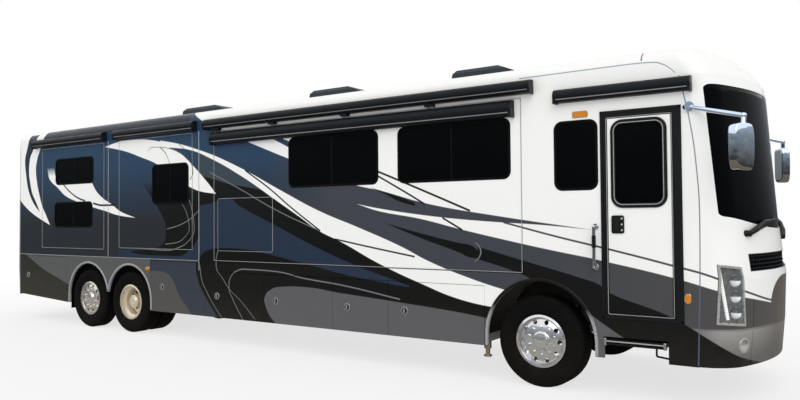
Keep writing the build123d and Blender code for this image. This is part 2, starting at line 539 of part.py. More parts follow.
# Entry door in its frame, and the folding step below it.
door_y = (-HALF_W - 105, -HALF_W + 95)
outer = block(DOOR_FRAME.x0, DOOR_FRAME.x1, -HALF_W - 4, -HALF_W + WALL_T, DOOR_FRAME.z0, DOOR_FRAME.z1)
inner = block(DOOR_LEAF.x0 - MOVE_GAP, DOOR_LEAF.x1 + MOVE_GAP, *door_y,
              DOOR_LEAF.z0 - MOVE_GAP, DOOR_LEAF.z1 + MOVE_GAP)
door_frame = outer - inner
hinge_x, hinge_y = DOOR_LEAF.x1 - HINGE_R, -HALF_W + HINGE_R
for z0, z1 in ((DOOR_LEAF.z0 - MOVE_GAP, DOOR_LEAF.z0 + 25), (DOOR_LEAF.z1 - 25, DOOR_LEAF.z1 + MOVE_GAP)):
    door_frame += rod_z(hinge_x, hinge_y, PIN_R, z0, z1)
save("entry_door_frame", door_frame)
leaf = block(DOOR_LEAF.x0, DOOR_LEAF.x1, -HALF_W, -HALF_W + 45, DOOR_LEAF.z0, DOOR_LEAF.z1)
leaf -= window_cut(DOOR_WINDOW, -1, WALL_T)
corner = leaf.edges().filter_by(Axis.Z).sort_by(lambda e: e.center().X * 10 - e.center().Y)[-1]
leaf = fillet(corner, HINGE_R)
for z0, z1 in ((DOOR_LEAF.z0 - 5, DOOR_LEAF.z0 + 30), (DOOR_LEAF.z1 - 30, DOOR_LEAF.z1 + 5)):
    leaf -= rod_z(hinge_x, hinge_y, PIN_R + SEAT_GAP, z0, z1)
save("entry_door", leaf)
save("entry_door_glass", pane(DOOR_WINDOW, -1))
STEP = Hole(STEP_GAP.x0 + 12, STEP_GAP.x1 - 12, 563, 627)
step = block(STEP.x0, STEP.x1, -HALF_W - 40, -HALF_W + 335, STEP.z1 - 28, STEP.z1)
step += block(STEP.x0 + 30, STEP.x1 - 30, -HALF_W - 20, -HALF_W + 335, STEP.z0, STEP.z0 + 22)
for i in range(5):
    y = -HALF_W + 20 + 60 * i
    step -= block(STEP.x0 + 40, STEP.x1 - 40, y, y + 14, STEP.z1 - 6, STEP.z1 + 5)
for x in (STEP.x0 + 30, STEP.x1 - 60):
    step += block(x, x + 30, -HALF_W - 20, -HALF_W + 335, STEP.z0, STEP.z1 - 10)
    step += block(x, x + 30, -HALF_W + 145, -HALF_W + 295, STEP.z1 - 30, STAIR.z0)
save("entry_step", step)

# Mirrors: a rounded head turned towards the driver, on a bent tube from the corner post.
MIRROR_AT = (FRONT_X - 165, -HALF_W - 255, 2570)
MIRROR_SIZE = (120, 280, 450)
MIRROR_TURN = 28
ARM_R = 26
mx, my, mz = MIRROR_AT
head = fillet(Box(*MIRROR_SIZE).edges().filter_by(Axis.X), 60)
head = fillet(head.edges().group_by(Axis.X)[-1], 45)
mirror = Pos(*MIRROR_AT) * Rot(0, 0, -MIRROR_TURN) * head
top = mz + MIRROR_SIZE[2] / 2
bend = [(FRONT_SEAM_X - 60, -HALF_W + 20, top + 235), (mx + 10, my + 50, top + 75),
        (mx + 10, my + 40, top - 20)]
for a, b in zip(bend, bend[1:]):
    a, b = Vector(a), Vector(b)
    mirror += extrude(Plane(a, z_dir=b - a) * Circle(ARM_R), amount=(b - a).length) + Pos(b) * Sphere(ARM_R)
front_form = cap_form(FRONT_LEVELS, FRONT_BOW_R, 1)
mirror -= front_form
mirrors = [mirror, mirror.mirror(Plane.XZ)]
save("mirrors", mirrors)

# Wipers: a boss and a blade that follow the curve of the screen.
Wiper = namedtuple("Wiper", "pivot_y pivot_z tip_y tip_z")
WIPERS = [Wiper(-955, 1745, -160, 1905), Wiper(250, 1690, 1060, 1990)]
blade_form = cap_form(FRONT_LEVELS, FRONT_BOW_R, 1, -22)
ridge = blade_form - cap_form(FRONT_LEVELS, FRONT_BOW_R, 1, -10)
blades = []
for w in WIPERS:
    boss = Pos(FRONT_X - 205, w.pivot_y, w.pivot_z) * Rot(0, 90, 0) * Cylinder(26, 330)
    dy, dz = w.tip_y - w.pivot_y, w.tip_z - w.pivot_z
    n = sqrt(dy * dy + dz * dz)
    oy, oz = -dz / n * 14, dy / n * 14
    strip = end_prism([(w.pivot_y + oy, w.pivot_z + oz), (w.tip_y + oy, w.tip_z + oz),
                       (w.tip_y - oy, w.tip_z - oz), (w.pivot_y - oy, w.pivot_z - oz)], *NOSE_X)
    arm = (ridge & strip) + ((boss & blade_form) - front_form)
    blades.append(max(arm.solids(), key=lambda b: b.volume))
save("wipers", blades)

# Roof units: low shrouds with a steep rear, a flat top and a long slope to the front.
Unit = namedtuple("Unit", "rear long")
UNITS = [Unit(FRONT_SEAM_X - 3380, 1000), Unit(REAR_SEAM_X + 6811, 1080), Unit(REAR_SEAM_X + 3746, 1180)]
UNIT_HALF, UNIT_TOP_Z = 350, ROOF_TOP_Z + 160
units = []
for unit in UNITS:
    x0, x1, base = unit.rear, unit.rear + unit.long, ROOF_TOP_Z - 100
    profile = [(x0, base), (x1, base), (x1 - 30, UNIT_TOP_Z - 110), (x1 - 0.3 * unit.long, UNIT_TOP_Z),
               (x0 + 70, UNIT_TOP_Z), (x0 + 25, UNIT_TOP_Z - 60)]
    case = side_plate(profile, -UNIT_HALF, UNIT_HALF)
    case &= end_prism([(-UNIT_HALF, base), (UNIT_HALF, base), (UNIT_HALF - 20, UNIT_TOP_Z - 50),
                       (UNIT_HALF - 70, UNIT_TOP_Z + 5), (70 - UNIT_HALF, UNIT_TOP_Z + 5),
                       (20 - UNIT_HALF, UNIT_TOP_Z - 50)], x0 - 10, x1 + 10)
    units.append(case - body_prism(x0 - 100, x1 + 100))
save("roof_units", units)

# Engine block, fuel tank, cab seats and dashboard.
ex0, ex1 = ENGINE_X
motor_half = RAIL_Y - RAIL_W
motor = end_prism([(-motor_half, 640), (-200, 400), (200, 400), (motor_half, 640), (motor_half, 1010),
                   (230, 1180), (-230, 1180), (-motor_half, 1010)], ex0 + 60, ex1)
motor += Pos(ex0 + 30, 0, 760) * Rot(0, 90, 0) * Cylinder(250, 60)
for x in (ex0 + 150, ex0 + 1050):
    motor += block(x, x + 120, -RAIL_WEB_Y, RAIL_WEB_Y, 900, 1000)
save("engine_block", motor)
tank = block(bay_edges[4] + 140, bay_edges[5] - 180, -800, 800, 480, RAIL_BOTTOM_Z)
save("fuel_tank", fillet(tank.edges().filter_by(Axis.Y), 40))
Seat = namedtuple("Seat", "x y")
SEATS = [Seat(FRONT_SEAM_X - 1510, -650), Seat(FRONT_SEAM_X - 960, 650)]
SEAT_Z = 1560
seats = []
for x, y in SEATS:
    cushion = fillet(block(x, x + 540, y - 280, y + 280, SEAT_Z, SEAT_Z + 140).edges(), 35)
    back = Pos(x, y, SEAT_Z + 80) * Rot(0, -8, 0) * Pos(0, 0, 390)
    back = back * fillet(Box(130, 520, 780).edges(), 45)
    chair = block(x + 120, x + 380, y - 140, y + 140, FLOOR_Z, SEAT_Z + 5) + cushion + back
    for s in (-1, 1):
        rest = block(x + 60, x + 380, y + s * 285, y + s * 345, SEAT_Z + 200, SEAT_Z + 270)
        chair += fillet(rest.edges(), 25)
        chair += block(x - 20, x + 90, y + s * 255, y + s * 345, SEAT_Z + 200, SEAT_Z + 260)
    seats.append(chair)
save("cab_seats", seats)
dx = FRONT_SEAM_X - 110
dash_edge = [(dx, FLOOR_Z), (dx + 280, FLOOR_Z), (dx + 320, 1700), (dx + 160, 1780), (dx, 1640)]
dash = side_plate(dash_edge, -540, 1020)
WHEEL_AT, WHEEL_R, WHEEL_LEAN = (dx - 150, SEATS[1].y, 1960), 215, Vector(-0.75, 0, 0.66)
steer = Plane(WHEEL_AT, z_dir=WHEEL_LEAN)
column_end = Vector(*WHEEL_AT) - WHEEL_LEAN * 420
dash += steer * Torus(WHEEL_R, 16) + steer * Cylinder(55, 40)
dash += steer * Box(2 * WHEEL_R, 40, 18) + steer * Pos(-WHEEL_R / 2, 0, 0) * Box(WHEEL_R, 36, 18)
dash += extrude(Plane(column_end, z_dir=WHEEL_LEAN) * Circle(32), amount=420)
save("dashboard", dash)

# Axles with their air springs, knuckles on kingpins.
BEAM_Z = (430, 520)
YOKE_Z = (345, 699)
EYE_Z = (412, 632)
SPINDLE_TIP_Y = TRACK_Y + 57
front_axle = block(FRONT_AXLE_X - 55, FRONT_AXLE_X + 55, -KINGPIN_Y, KINGPIN_Y, *BEAM_Z)
rear_axles = []
for s in (-1, 1):
    king_y = s * KINGPIN_Y
    front_axle += rod_z(FRONT_AXLE_X, king_y, 60, *EYE_Z)
    front_axle += rod_z(FRONT_AXLE_X, king_y, 25, *YOKE_Z)
    front_axle += rod_z(FRONT_AXLE_X, s * RAIL_Y, 130, 500, RAIL_BOTTOM_Z)
    knuckle = block(FRONT_AXLE_X - 70, FRONT_AXLE_X + 70, king_y - s * 70, king_y + s * 120, *YOKE_Z)
    knuckle -= block(FRONT_AXLE_X - 80, FRONT_AXLE_X + 80, king_y - s * 80, king_y + s * 80,
                     EYE_Z[0] - 7, EYE_Z[1] + 7)
    knuckle -= rod_z(FRONT_AXLE_X, king_y, 25 + SEAT_GAP, 300, 800)
    knuckle += rod_y(FRONT_AXLE_X, TYRE_R, SPINDLE_R, king_y + s * 110, s * SPINDLE_TIP_Y)
    save("knuckle_" + ("right" if s < 0 else "left"), knuckle)
save("front_axle", front_axle)
for x, tube_r in ((DRIVE_AXLE_X, 80), (TAG_AXLE_X, 65)):
    axle = rod_y(x, TYRE_R, tube_r, -600, 600) + rod_y(x, TYRE_R, SPINDLE_R, -SPINDLE_TIP_Y, SPINDLE_TIP_Y)
    if x == DRIVE_AXLE_X:
        bowl = Cylinder(210, 240)
        bowl = fillet(bowl.edges().filter_by(GeomType.CIRCLE), 60)
        axle += Pos(x, 0, TYRE_R) * Rot(90, 0, 0) * bowl
    for s in (-1, 1):
        axle += rod_z(x, s * RAIL_Y, 135, TYRE_R, RAIL_BOTTOM_Z)
    rear_axles.append(axle)
save("rear_axles", rear_axles)

# Tyres: round-shouldered sections with tread grooves, turned about the axle.
HALF_TYRE = TYRE_W / 2
GROOVES, GROOVE_W, GROOVE_DEEP = 4, 12, 12


def tyre_ring(x, y):
    r, h, bead = TYRE_R, HALF_TYRE, BEAD_R + SEAT_GAP
    edges = [Line((bead, -h + 42), (bead, h - 42))]
    for s in (1, -1):
        edges += [Line((bead, s * (h - 42)), (bead + 36, s * (h - 14))),
                  ThreePointArc((bead + 36, s * (h - 14)), (bead + 125, s * h), (r - 40, s * (h - 12))),
                  ThreePointArc((r - 40, s * (h - 12)), (r - 13, s * (h - 28)), (r, s * (h - 58)))]
    edges.append(Line((r, h - 58), (r, -h + 58)))
    ring = revolve(make_face(Wire(edges)), Axis.Y)
    pitch = (TYRE_W - 2 * 58) / GROOVES
    for i in range(GROOVES):
        at = -h + 58 + pitch * (i + 0.5)
        groove = Cylinder(r + 5, GROOVE_W) - Cylinder(r - GROOVE_DEEP, GROOVE_W + 2)
        ring -= Pos(0, at, 0) * Rot(90, 0, 0) * groove
    return Pos(x, y, TYRE_R) * ring


# Rims: a rolled barrel with its drop centre, a pressed disc with hand holes, nuts and a hub cover.
# Sections are drawn as (radius, out along the axle).
HAND_HOLES, HAND_HOLE_R, HAND_HOLE_AT = 10, 27, 222
NUTS, NUT_R, NUT_H, NUT_AT = 10, 17, 26, 167.5
RIM_T = 14
FLANGE = 13


def turned(section):
    return revolve(make_face(Polyline(*[(r, 0, a) for r, a in section], close=True)), Axis.Z)


def barrel(middle):
    h, b = HALF_TYRE, BEAD_R
    outer = [(b - RIM_T, h - 21), (b + FLANGE, h - 21), (b + FLANGE, h - 31), (b, h - 33), (b, 80),
             (b - 40, 50)]
    inner = [(b - 40 - RIM_T, 45), (b - RIM_T, 78)]
    section = outer + [(r, -a) for r, a in outer[::-1]] + [(r, -a) for r, a in inner[::-1]] + inner
    return Pos(0, 0, middle) * turned(section)


def disc(bend, dish, face, flip=1, middle=0):
    """A pressed disc from the barrel to its mounting face, with hand holes and wheel nuts."""
    b, t = BEAD_R - RIM_T / 2, 15
    section = [(b, bend), (b - 30, dish), (205, face), (100, face), (100, face - t), (205, face - t),
               (b - 36, dish - t), (b, bend - t)]
    plate = turned(section)
    for i in range(HAND_HOLES):
        plate -= Rot(0, 0, 360 / HAND_HOLES * i) * Pos(HAND_HOLE_AT, 0, face) * Cylinder(HAND_HOLE_R, 160)
    if flip > 0:
        for i in range(NUTS):
            nut = Pos(NUT_AT, 0, face + NUT_H / 2) * Cylinder(NUT_R, NUT_H)
            plate += Rot(0, 0, 360 / NUTS * (i + 0.5)) * nut
        return Pos(0, 0, middle) * plate
    return Pos(0, 0, middle) * plate.mirror(Plane.XY)


def wheel_rim(x, y, s, dual):
    """One wheel's rim and hub; a dual wheel carries a second rim further in."""
    if dual:
        face, hub_r, hub_in, hub_out = 15 - DUAL_SPACING / 2, 112, -300, 75
        rim = barrel(0) + disc(-72, -108, face) + barrel(-DUAL_SPACING)
        rim += disc(-72, -108, face, -1, -DUAL_SPACING)
    else:
        face, hub_r, hub_in, hub_out = 116, 112, -110, 124
        rim = barrel(0) + disc(92, 108, face)
    hub = [(0, hub_in), (hub_r, hub_in), (hub_r, hub_out - 6), (hub_r - 8, hub_out), (88, hub_out + 4),
           (78, hub_out + 16), (0, hub_out + 22)]
    rim += turned(hub)
    deep = SPINDLE_TIP_Y - TRACK_Y + MOVE_GAP
    rim -= Pos(0, 0, deep - 400) * Cylinder(SPINDLE_R + SEAT_GAP, 800)
    return Pos(x, y, TYRE_R) * Rot(-90 * s, 0, 0) * rim


Wheel = namedtuple("Wheel", "axle x dual")
WHEELS = [Wheel("front", FRONT_AXLE_X, False), Wheel("drive", DRIVE_AXLE_X, True),
          Wheel("tag", TAG_AXLE_X, False)]
for wheel in WHEELS:
    for hand, s in (("right", -1), ("left", 1)):
        y = s * TRACK_Y
        rows = [y, y - s * DUAL_SPACING] if wheel.dual else [y]
        save(f"tyre_{wheel.axle}_{hand}", [tyre_ring(wheel.x, row) for row in rows])
        save(f"rim_{wheel.axle}_{hand}", wheel_rim(wheel.x, y, s, wheel.dual))
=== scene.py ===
from math import cos, radians, sin
import bpy, bmesh
from mathutils import Matrix, Vector


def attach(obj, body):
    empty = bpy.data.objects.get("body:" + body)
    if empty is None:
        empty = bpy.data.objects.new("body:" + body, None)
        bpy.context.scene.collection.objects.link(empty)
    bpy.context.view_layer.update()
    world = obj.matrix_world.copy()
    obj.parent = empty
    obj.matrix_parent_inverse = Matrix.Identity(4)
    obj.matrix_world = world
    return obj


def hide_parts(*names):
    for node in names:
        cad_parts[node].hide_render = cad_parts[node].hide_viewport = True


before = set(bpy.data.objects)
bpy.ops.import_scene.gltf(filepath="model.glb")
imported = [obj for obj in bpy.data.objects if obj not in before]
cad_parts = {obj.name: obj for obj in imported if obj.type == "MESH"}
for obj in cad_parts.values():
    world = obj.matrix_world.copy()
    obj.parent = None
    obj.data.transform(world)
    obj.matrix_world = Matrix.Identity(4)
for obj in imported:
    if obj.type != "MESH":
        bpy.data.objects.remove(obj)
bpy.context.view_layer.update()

# Chassis rails, axles, air springs and steering knuckles. Pressed and welded steel under
# satin black chassis paint, bolted together, with road dust in patches, more of it lower down.


def tone(code):
    """A paint chip's screen colour as the linear colour a shader wants."""
    parts = [int(code[i:i + 2], 16) / 255 for i in (0, 2, 4)]
    return tuple(c / 12.92 if c < 0.04045 else ((c + 0.055) / 1.055) ** 2.4 for c in parts) + (1.0,)


def finish_coat(name, **plain):
    """A material with one Principled shader; plain values go on the shader's own sockets."""
    mat = bpy.data.materials.new(name)
    mat.use_nodes = True
    shader = mat.node_tree.nodes["Principled BSDF"]
    for socket, value in plain.items():
        shader.inputs[socket.replace("_", " ")].default_value = value
    return mat, mat.node_tree, shader


def place_of(tree):
    return tree.nodes.new("ShaderNodeTexCoord").outputs["Object"]


def noise(tree, place, scale, detail=3.0, rough=0.55):
    node = tree.nodes.new("ShaderNodeTexNoise")
    node.inputs["Scale"].default_value = scale
    node.inputs["Detail"].default_value = detail
    node.inputs["Roughness"].default_value = rough
    tree.links.new(place, node.inputs["Vector"])
    return node.outputs["Fac"]


def sums(tree, operation, *values, clamp=False):
    node = tree.nodes.new("ShaderNodeMath")
    node.operation = operation
    node.use_clamp = clamp
    for socket, value in zip(node.inputs, values):
        if isinstance(value, (int, float)):
            socket.default_value = value
        else:
            tree.links.new(value, socket)
    return node.outputs[0]


def spread(tree, value, low, high, to_low=0.0, to_high=1.0):
    node = tree.nodes.new("ShaderNodeMapRange")
    tree.links.new(value, node.inputs["Value"])
    for socket, number in zip(("From Min", "From Max", "To Min", "To Max"), (low, high, to_low, to_high)):
        node.inputs[socket].default_value = number
    return node.outputs[0]


def blend_tones(tree, mask, first, second):
    node = tree.nodes.new("ShaderNodeMix")
    node.data_type = "RGBA"
    for socket, value in ((node.inputs[0], mask), (node.inputs[6], first), (node.inputs[7], second)):
        if isinstance(value, (tuple, float)):
            socket.default_value = value
        else:
            tree.links.new(value, socket)
    return node.outputs[2]


def plug(tree, shader, **sources):
    """Joins node outputs to the shader's sockets by name."""
    for socket, source in sources.items():
        tree.links.new(source, shader.inputs[socket.replace("_", " ")])


def bump(tree, shader, height, strength, distance):
    node = tree.nodes.new("ShaderNodeBump")
    node.inputs["Strength"].default_value = strength
    node.inputs["Distance"].default_value = distance
    tree.links.new(height, node.inputs["Height"])
    plug(tree, shader, Normal=node.outputs[0])


def axes(tree, place):
    split = tree.nodes.new("ShaderNodeSeparateXYZ")
    tree.links.new(place, split.inputs[0])
    return split.outputs


def worn_coat(name, scale, detail, tones, rough, **plain):
    """A finish whose colour and gloss both drift with one noise."""
    mat, tree, shader = finish_coat(name, **plain)
    place = place_of(tree)
    drift = noise(tree, place, scale, detail)
    plug(tree, shader, Base_Color=blend_tones(tree, drift, tone(tones[0]), tone(tones[1])),
         Roughness=spread(tree, drift, 0.2, 0.8, *rough))
    return mat, tree, shader, place


def new_group(name, inputs, outputs):
    """A shared effect: a shader node group with named sockets."""
    tree = bpy.data.node_groups.new(name, "ShaderNodeTree")
    for way, sockets in (("INPUT", inputs), ("OUTPUT", outputs)):
        for label, kind in sockets:
            tree.interface.new_socket(name=label, in_out=way, socket_type="NodeSocket" + kind)
    return tree, tree.nodes.new("NodeGroupInput").outputs, tree.nodes.new("NodeGroupOutput").inputs


def use_group(tree, group, **values):
    node = tree.nodes.new("ShaderNodeGroup")
    node.node_tree = group
    for label, value in values.items():
        if isinstance(value, (int, float, tuple)):
            node.inputs[label].default_value = value
        else:
            tree.links.new(value, node.inputs[label])
    return node.outputs


dust_group, given, result = new_group(
    "road_dust", [("Place", "Vector"), ("Colour", "Color"), ("Amount", "Float"), ("Top", "Float")],
    [("Colour", "Color"), ("Mask", "Float")])
low_down = sums(dust_group, "SUBTRACT", given["Top"], axes(dust_group, given["Place"])["Z"])
patch = noise(dust_group, given["Place"], 9.0, 5.0)
mask = sums(dust_group, "MULTIPLY", sums(dust_group, "MULTIPLY", low_down, patch, clamp=True), given["Amount"])
dust_group.links.new(blend_tones(dust_group, mask, given["Colour"], tone("9a9184")), result["Colour"])
dust_group.links.new(mask, result["Mask"])

chassis_black, tree, shader = finish_coat("chassis_black", Roughness=0.5)
place = place_of(tree)
dusted = use_group(tree, dust_group, Place=place, Colour=tone("191a1b"), Amount=0.5, Top=1.2)
plug(tree, shader, Base_Color=dusted["Colour"])
bump(tree, shader, noise(tree, place, 60.0), 0.15, 0.004)


def dress(material, *nodes):
    """Puts a finish on a CAD node, whose shape is left alone."""
    for name in nodes:
        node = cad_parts[name]
        for holder in node.material_slots:
            holder.material = material


dress(chassis_black, "chassis_frame", "front_axle", "rear_axles", "knuckle_right", "knuckle_left")


def piece(name, bm, material, body, soft=0.0):
    """Makes a finished mesh a piece that rides on a CAD body; soft rounds its edges."""
    bmesh.ops.recalc_face_normals(bm, faces=bm.faces)
    mesh = bpy.data.meshes.new(name)
    bm.to_mesh(mesh)
    bm.free()
    mesh.materials.append(material)
    mesh.shade_smooth()
    mesh.set_sharp_from_angle(angle=radians(38))
    made = bpy.data.objects.new(name, mesh)
    bpy.context.scene.collection.objects.link(made)
    if soft:
        edge = made.modifiers.new("soft_edge", "BEVEL")
        edge.width, edge.segments, edge.limit_method = soft, 2, "ANGLE"
    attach(made, body)
    return made


def bar(bm, low, high):
    """A plain bar between two corners."""
    size = Matrix.Diagonal([abs(b - a) for a, b in zip(low, high)] + [1])
    middle = Matrix.Translation([(a + b) / 2 for a, b in zip(low, high)])
    bmesh.ops.create_cube(bm, size=1, matrix=middle @ size)


def tube(bm, start, end, r, r_end=None, sides=24):
    """A round bar from one point to another."""
    start, end = Vector(start), Vector(end)
    turn = (end - start).to_track_quat("Z", "Y").to_matrix().to_4x4()
    bmesh.ops.create_cone(bm, cap_ends=True, segments=sides, radius1=r, radius2=r if r_end is None else r_end,
                          depth=(end - start).length, matrix=Matrix.Translation((start + end) / 2) @ turn)


# Levelling jacks under the bay floor, drawn up for the road: steel cylinders, rams and foot plates,
# bolted to the frame. Each stage is its top, foot and radius.
HALF_W = 1.295
JACK_X, JACK_Y = 3.79, 1.16
JACK_STAGES = [(0.446, 0.36, 0.045), (0.37, 0.28, 0.028), (0.285, 0.265, 0.05)]
jack_steel, *_ = worn_coat("jack_steel", 45.0, 4.0, ("8d8672", "c4bda8"), (0.35, 0.6), Metallic=0.8)
bm = bmesh.new()
for side in (-1, 1):
    for top, foot, r in JACK_STAGES:
        tube(bm, (JACK_X, side * JACK_Y, top), (JACK_X, side * JACK_Y, foot), r)
piece("levelling_jacks", bm, jack_steel, "coach", 0.003)

# Storage bay floor and bulkheads, fuel tank: plain aluminium sheet, folded and riveted.
# The engine is a cast block behind the rear axle, and the floor a sealed board on the rails.
sheet_metal, tree, shader = finish_coat("bay_sheet_metal", Metallic=0.9)
place = place_of(tree)
brushed = tree.nodes.new("ShaderNodeMapping")
brushed.inputs["Scale"].default_value = (2.0, 90.0, 90.0)
tree.links.new(place, brushed.inputs[0])
grain = noise(tree, brushed.outputs[0], 6.0)
plug(tree, shader, Base_Color=blend_tones(tree, grain, tone("8b8c8e"), tone("b4b5b6")))
plug(tree, shader, Roughness=spread(tree, grain, 0.2, 0.8, 0.3, 0.5))
dress(sheet_metal, "bay_pan", "fuel_tank")

cast_iron, tree, shader = finish_coat("cast_engine_paint", Roughness=0.6, Metallic=0.4)
place = place_of(tree)
plug(tree, shader, Base_Color=blend_tones(tree, noise(tree, place, 30.0), tone("3a3c3e"), tone("55585a")))
bump(tree, shader, noise(tree, place, 220.0), 0.3, 0.003)
dress(cast_iron, "engine_block")

floor_board, tree, shader = finish_coat("floor_board", Roughness=0.45)
place = place_of(tree)
planks = tree.nodes.new("ShaderNodeTexBrick")
planks.inputs["Scale"].default_value = 1.0
planks.inputs["Brick Width"].default_value = 1.2
planks.inputs["Row Height"].default_value = 0.18
planks.inputs["Mortar Size"].default_value = 0.003
planks.inputs["Color1"].default_value = tone("a58c72")
planks.inputs["Color2"].default_value = tone("947a60")
planks.inputs["Mortar"].default_value = tone("4f4033")
tree.links.new(place, planks.inputs["Vector"])
plug(tree, shader, Base_Color=planks.outputs["Color"])
dress(floor_board, "floor_deck")

# The shell: fibreglass walls, caps, skirts, doors and slide-out fronts, sprayed in layers over
# masking tape. White first, then slate, charcoal and black sweeps, and a clear coat over all.
WHITE = tone("f8f8f6")
STEEL = tone("25415c")
SLATE = tone("262b31")
CHARCOAL = tone("41444c")
GRAPHITE = tone("4b4b4c")
BLACK = tone("0b0d0e")
NAVY = tone("243246")
STONE = tone("5d5d60")
ASH = tone("595a5b")
OLIVE = tone("2c2d28")
PIN_GREY = tone("7a7d7c")
TAPE_EDGE = 0.004

livery, given, result = new_group("coach_livery", [("Place", "Vector")], [("Colour", "Color"), ("Pale", "Float")])
ALONG, ACROSS, UP = axes(livery, given["Place"])
OFF_CENTRE = sums(livery, "ABSOLUTE", ACROSS)


def tape(points, by=None):
    """A line of masking tape: points are (along, height), or (height, along) when by is UP."""
    by = by or ALONG
    first, last = points[0][0], points[-1][0]
    low, high = min(p[1] for p in points), max(p[1] for p in points)
    size = max(high - low, 0.001)
    node = livery.nodes.new("ShaderNodeFloatCurve")
    livery.links.new(spread(livery, by, first, last), node.inputs["Value"])
    line = node.mapping.curves[0]
    spots = [((a - first) / (last - first), (b - low) / size) for a, b in points]
    line.points[0].location, line.points[-1].location = spots[0], spots[-1]
    for spot in spots[1:-1]:
        line.points.new(*spot)
    for point in line.points:
        point.handle_type = "AUTO_CLAMPED"
    node.mapping.update()
    return sums(livery, "MULTIPLY_ADD", node.outputs[0], size, low)


def under(value, line):
    """A mask that is 1 where value is less than line, with a soft edge."""
    gap = sums(livery, "SUBTRACT", line, value)
    return sums(livery, "MULTIPLY_ADD", gap, 0.5 / TAPE_EDGE, 0.5, clamp=True)


def both(*masks):
    joined = masks[0]
    for mask in masks[1:]:
        joined = sums(livery, "MULTIPLY", joined, mask)
    return joined


def between_x(rear, front):
    return both(under(rear, ALONG), under(ALONG, front))


def spray(colour, *masks):
    global coat
    coat = blend_tones(livery, both(*masks), coat, colour)


def band(colour, top, foot, rear, front, *masks):
    """Colour between two tapes, from one place along the coach to another."""
    spray(colour, under(UP, top), under(foot, UP), between_x(rear, front), *masks)


def pinstripe(colour, points, width, by=None):
    """A thin hand-pulled line along the tape points."""
    value = ALONG if by else UP
    off = sums(livery, "ABSOLUTE", sums(livery, "SUBTRACT", value, tape(points, by)))
    mask = sums(livery, "MULTIPLY_ADD", sums(livery, "SUBTRACT", width / 2, off), 0.5 / TAPE_EDGE, 0.5, clamp=True)
    ends = (points[0][0], points[-1][0])
    limits = [under(min(ends), UP), under(UP, max(ends))] if by else [between_x(min(ends), max(ends))]
    spray(colour, mask, *limits)


coat = WHITE
# Slate field, charcoal towards the front. At the rear it fades by height to steel blue towards the roof, a painted
# sky reflection.
field_top = tape([(-1.75, 3.85), (-0.9, 3.37), (-0.24, 3.13), (0.68, 2.80), (1.89, 2.38), (2.31, 2.29),
                  (3.07, 2.10), (4.04, 1.94), (5.14, 1.785)])
nose_top = tape([(5.10, 1.482), (5.93, 1.31), (6.37, 1.19), (6.66, 1.09), (6.85, 0.97)])
rear_sky_reflection_fade = blend_tones(livery, spread(livery, UP, 1.9, 2.9), SLATE, STEEL)
field = blend_tones(livery, spread(livery, ALONG, 0.2, 1.5), rear_sky_reflection_fade, CHARCOAL)
field = blend_tones(livery, spread(livery, ALONG, 4.6, 6.2), field, GRAPHITE)
spray(field, under(UP, field_top), under(UP, 3.66), under(ALONG, 5.14))
spray(field, under(UP, nose_top), under(5.12, ALONG))
# A darker navy band along the roof edge at the rear: a painted reflection.
spray(tone("1b2634"), under(ALONG, -1.45), under(3.50, UP), under(UP, 3.70))
steel_edge = [tape([(0.36, 3.11), (0.7, 2.955)]), tape([(0.36, 3.16), (0.52, 3.11), (0.7, 3.045)])]
band(STEEL, steel_edge[1], steel_edge[0], 0.36, 0.7)
# White gap that opens between the two charcoal bands.
gap_top = tape([(1.93, 2.12), (2.30, 2.055), (2.92, 1.97), (3.50, 1.91), (4.04, 1.87), (4.54, 1.84), (5.14, 1.785)])
gap_base = tape([(1.93, 2.12), (2.30, 2.02), (2.92, 1.92), (3.50, 1.79), (4.03, 1.68), (4.65, 1.56), (5.14, 1.475)])
band(WHITE, gap_top, gap_base, 1.93, 5.14)
# Lower rear panels: ash grey round the arches, slate on the first bay door.
below_floor = under(UP, 1.28)
spray(ASH, below_floor, under(ALONG, -2.46))
olive_top = tape([(-6.60, 1.35), (-6.22, 1.20), (-5.68, 0.98), (-5.16, 0.83), (-4.76, 0.70)])
spray(OLIVE, below_floor, under(UP, olive_top), under(ALONG, -4.76))
spray(tone("343b47"), below_floor, between_x(-2.46, -0.7))
ash_top = tape([(-2.47, 1.08), (-2.20, 1.08), (-2.00, 1.04), (-1.90, 0.98), (-1.82, 0.87), (-1.70, 0.68),
                (-1.52, 0.52), (-1.40, 0.41)])
spray(tone("515151"), under(UP, ash_top), between_x(-2.46, -1.40))
# Black oval behind the second window, with a navy foot.
spray(NAVY, between_x(-3.34, -1.235), under(UP, 1.62), under(1.28, UP))
oval_rear = tape([(1.36, -3.30), (1.42, -2.74), (1.46, -2.33), (1.60, -2.07), (1.80, -2.05), (2.06, -2.20),
                  (2.40, -2.52), (2.70, -2.87)], UP)
oval_foot = tape([(-3.30, 1.42), (-2.47, 1.34), (-1.82, 1.34), (-1.45, 1.45), (-1.24, 1.66)])
spray(BLACK, under(oval_rear, ALONG), under(oval_foot, UP), under(ALONG, -1.235), spread(livery, UP, 2.6, 2.35))
spray(SLATE, under(ALONG, oval_rear), between_x(-3.34, -1.9), under(oval_foot, UP), under(UP, 1.62), under(1.42, UP))
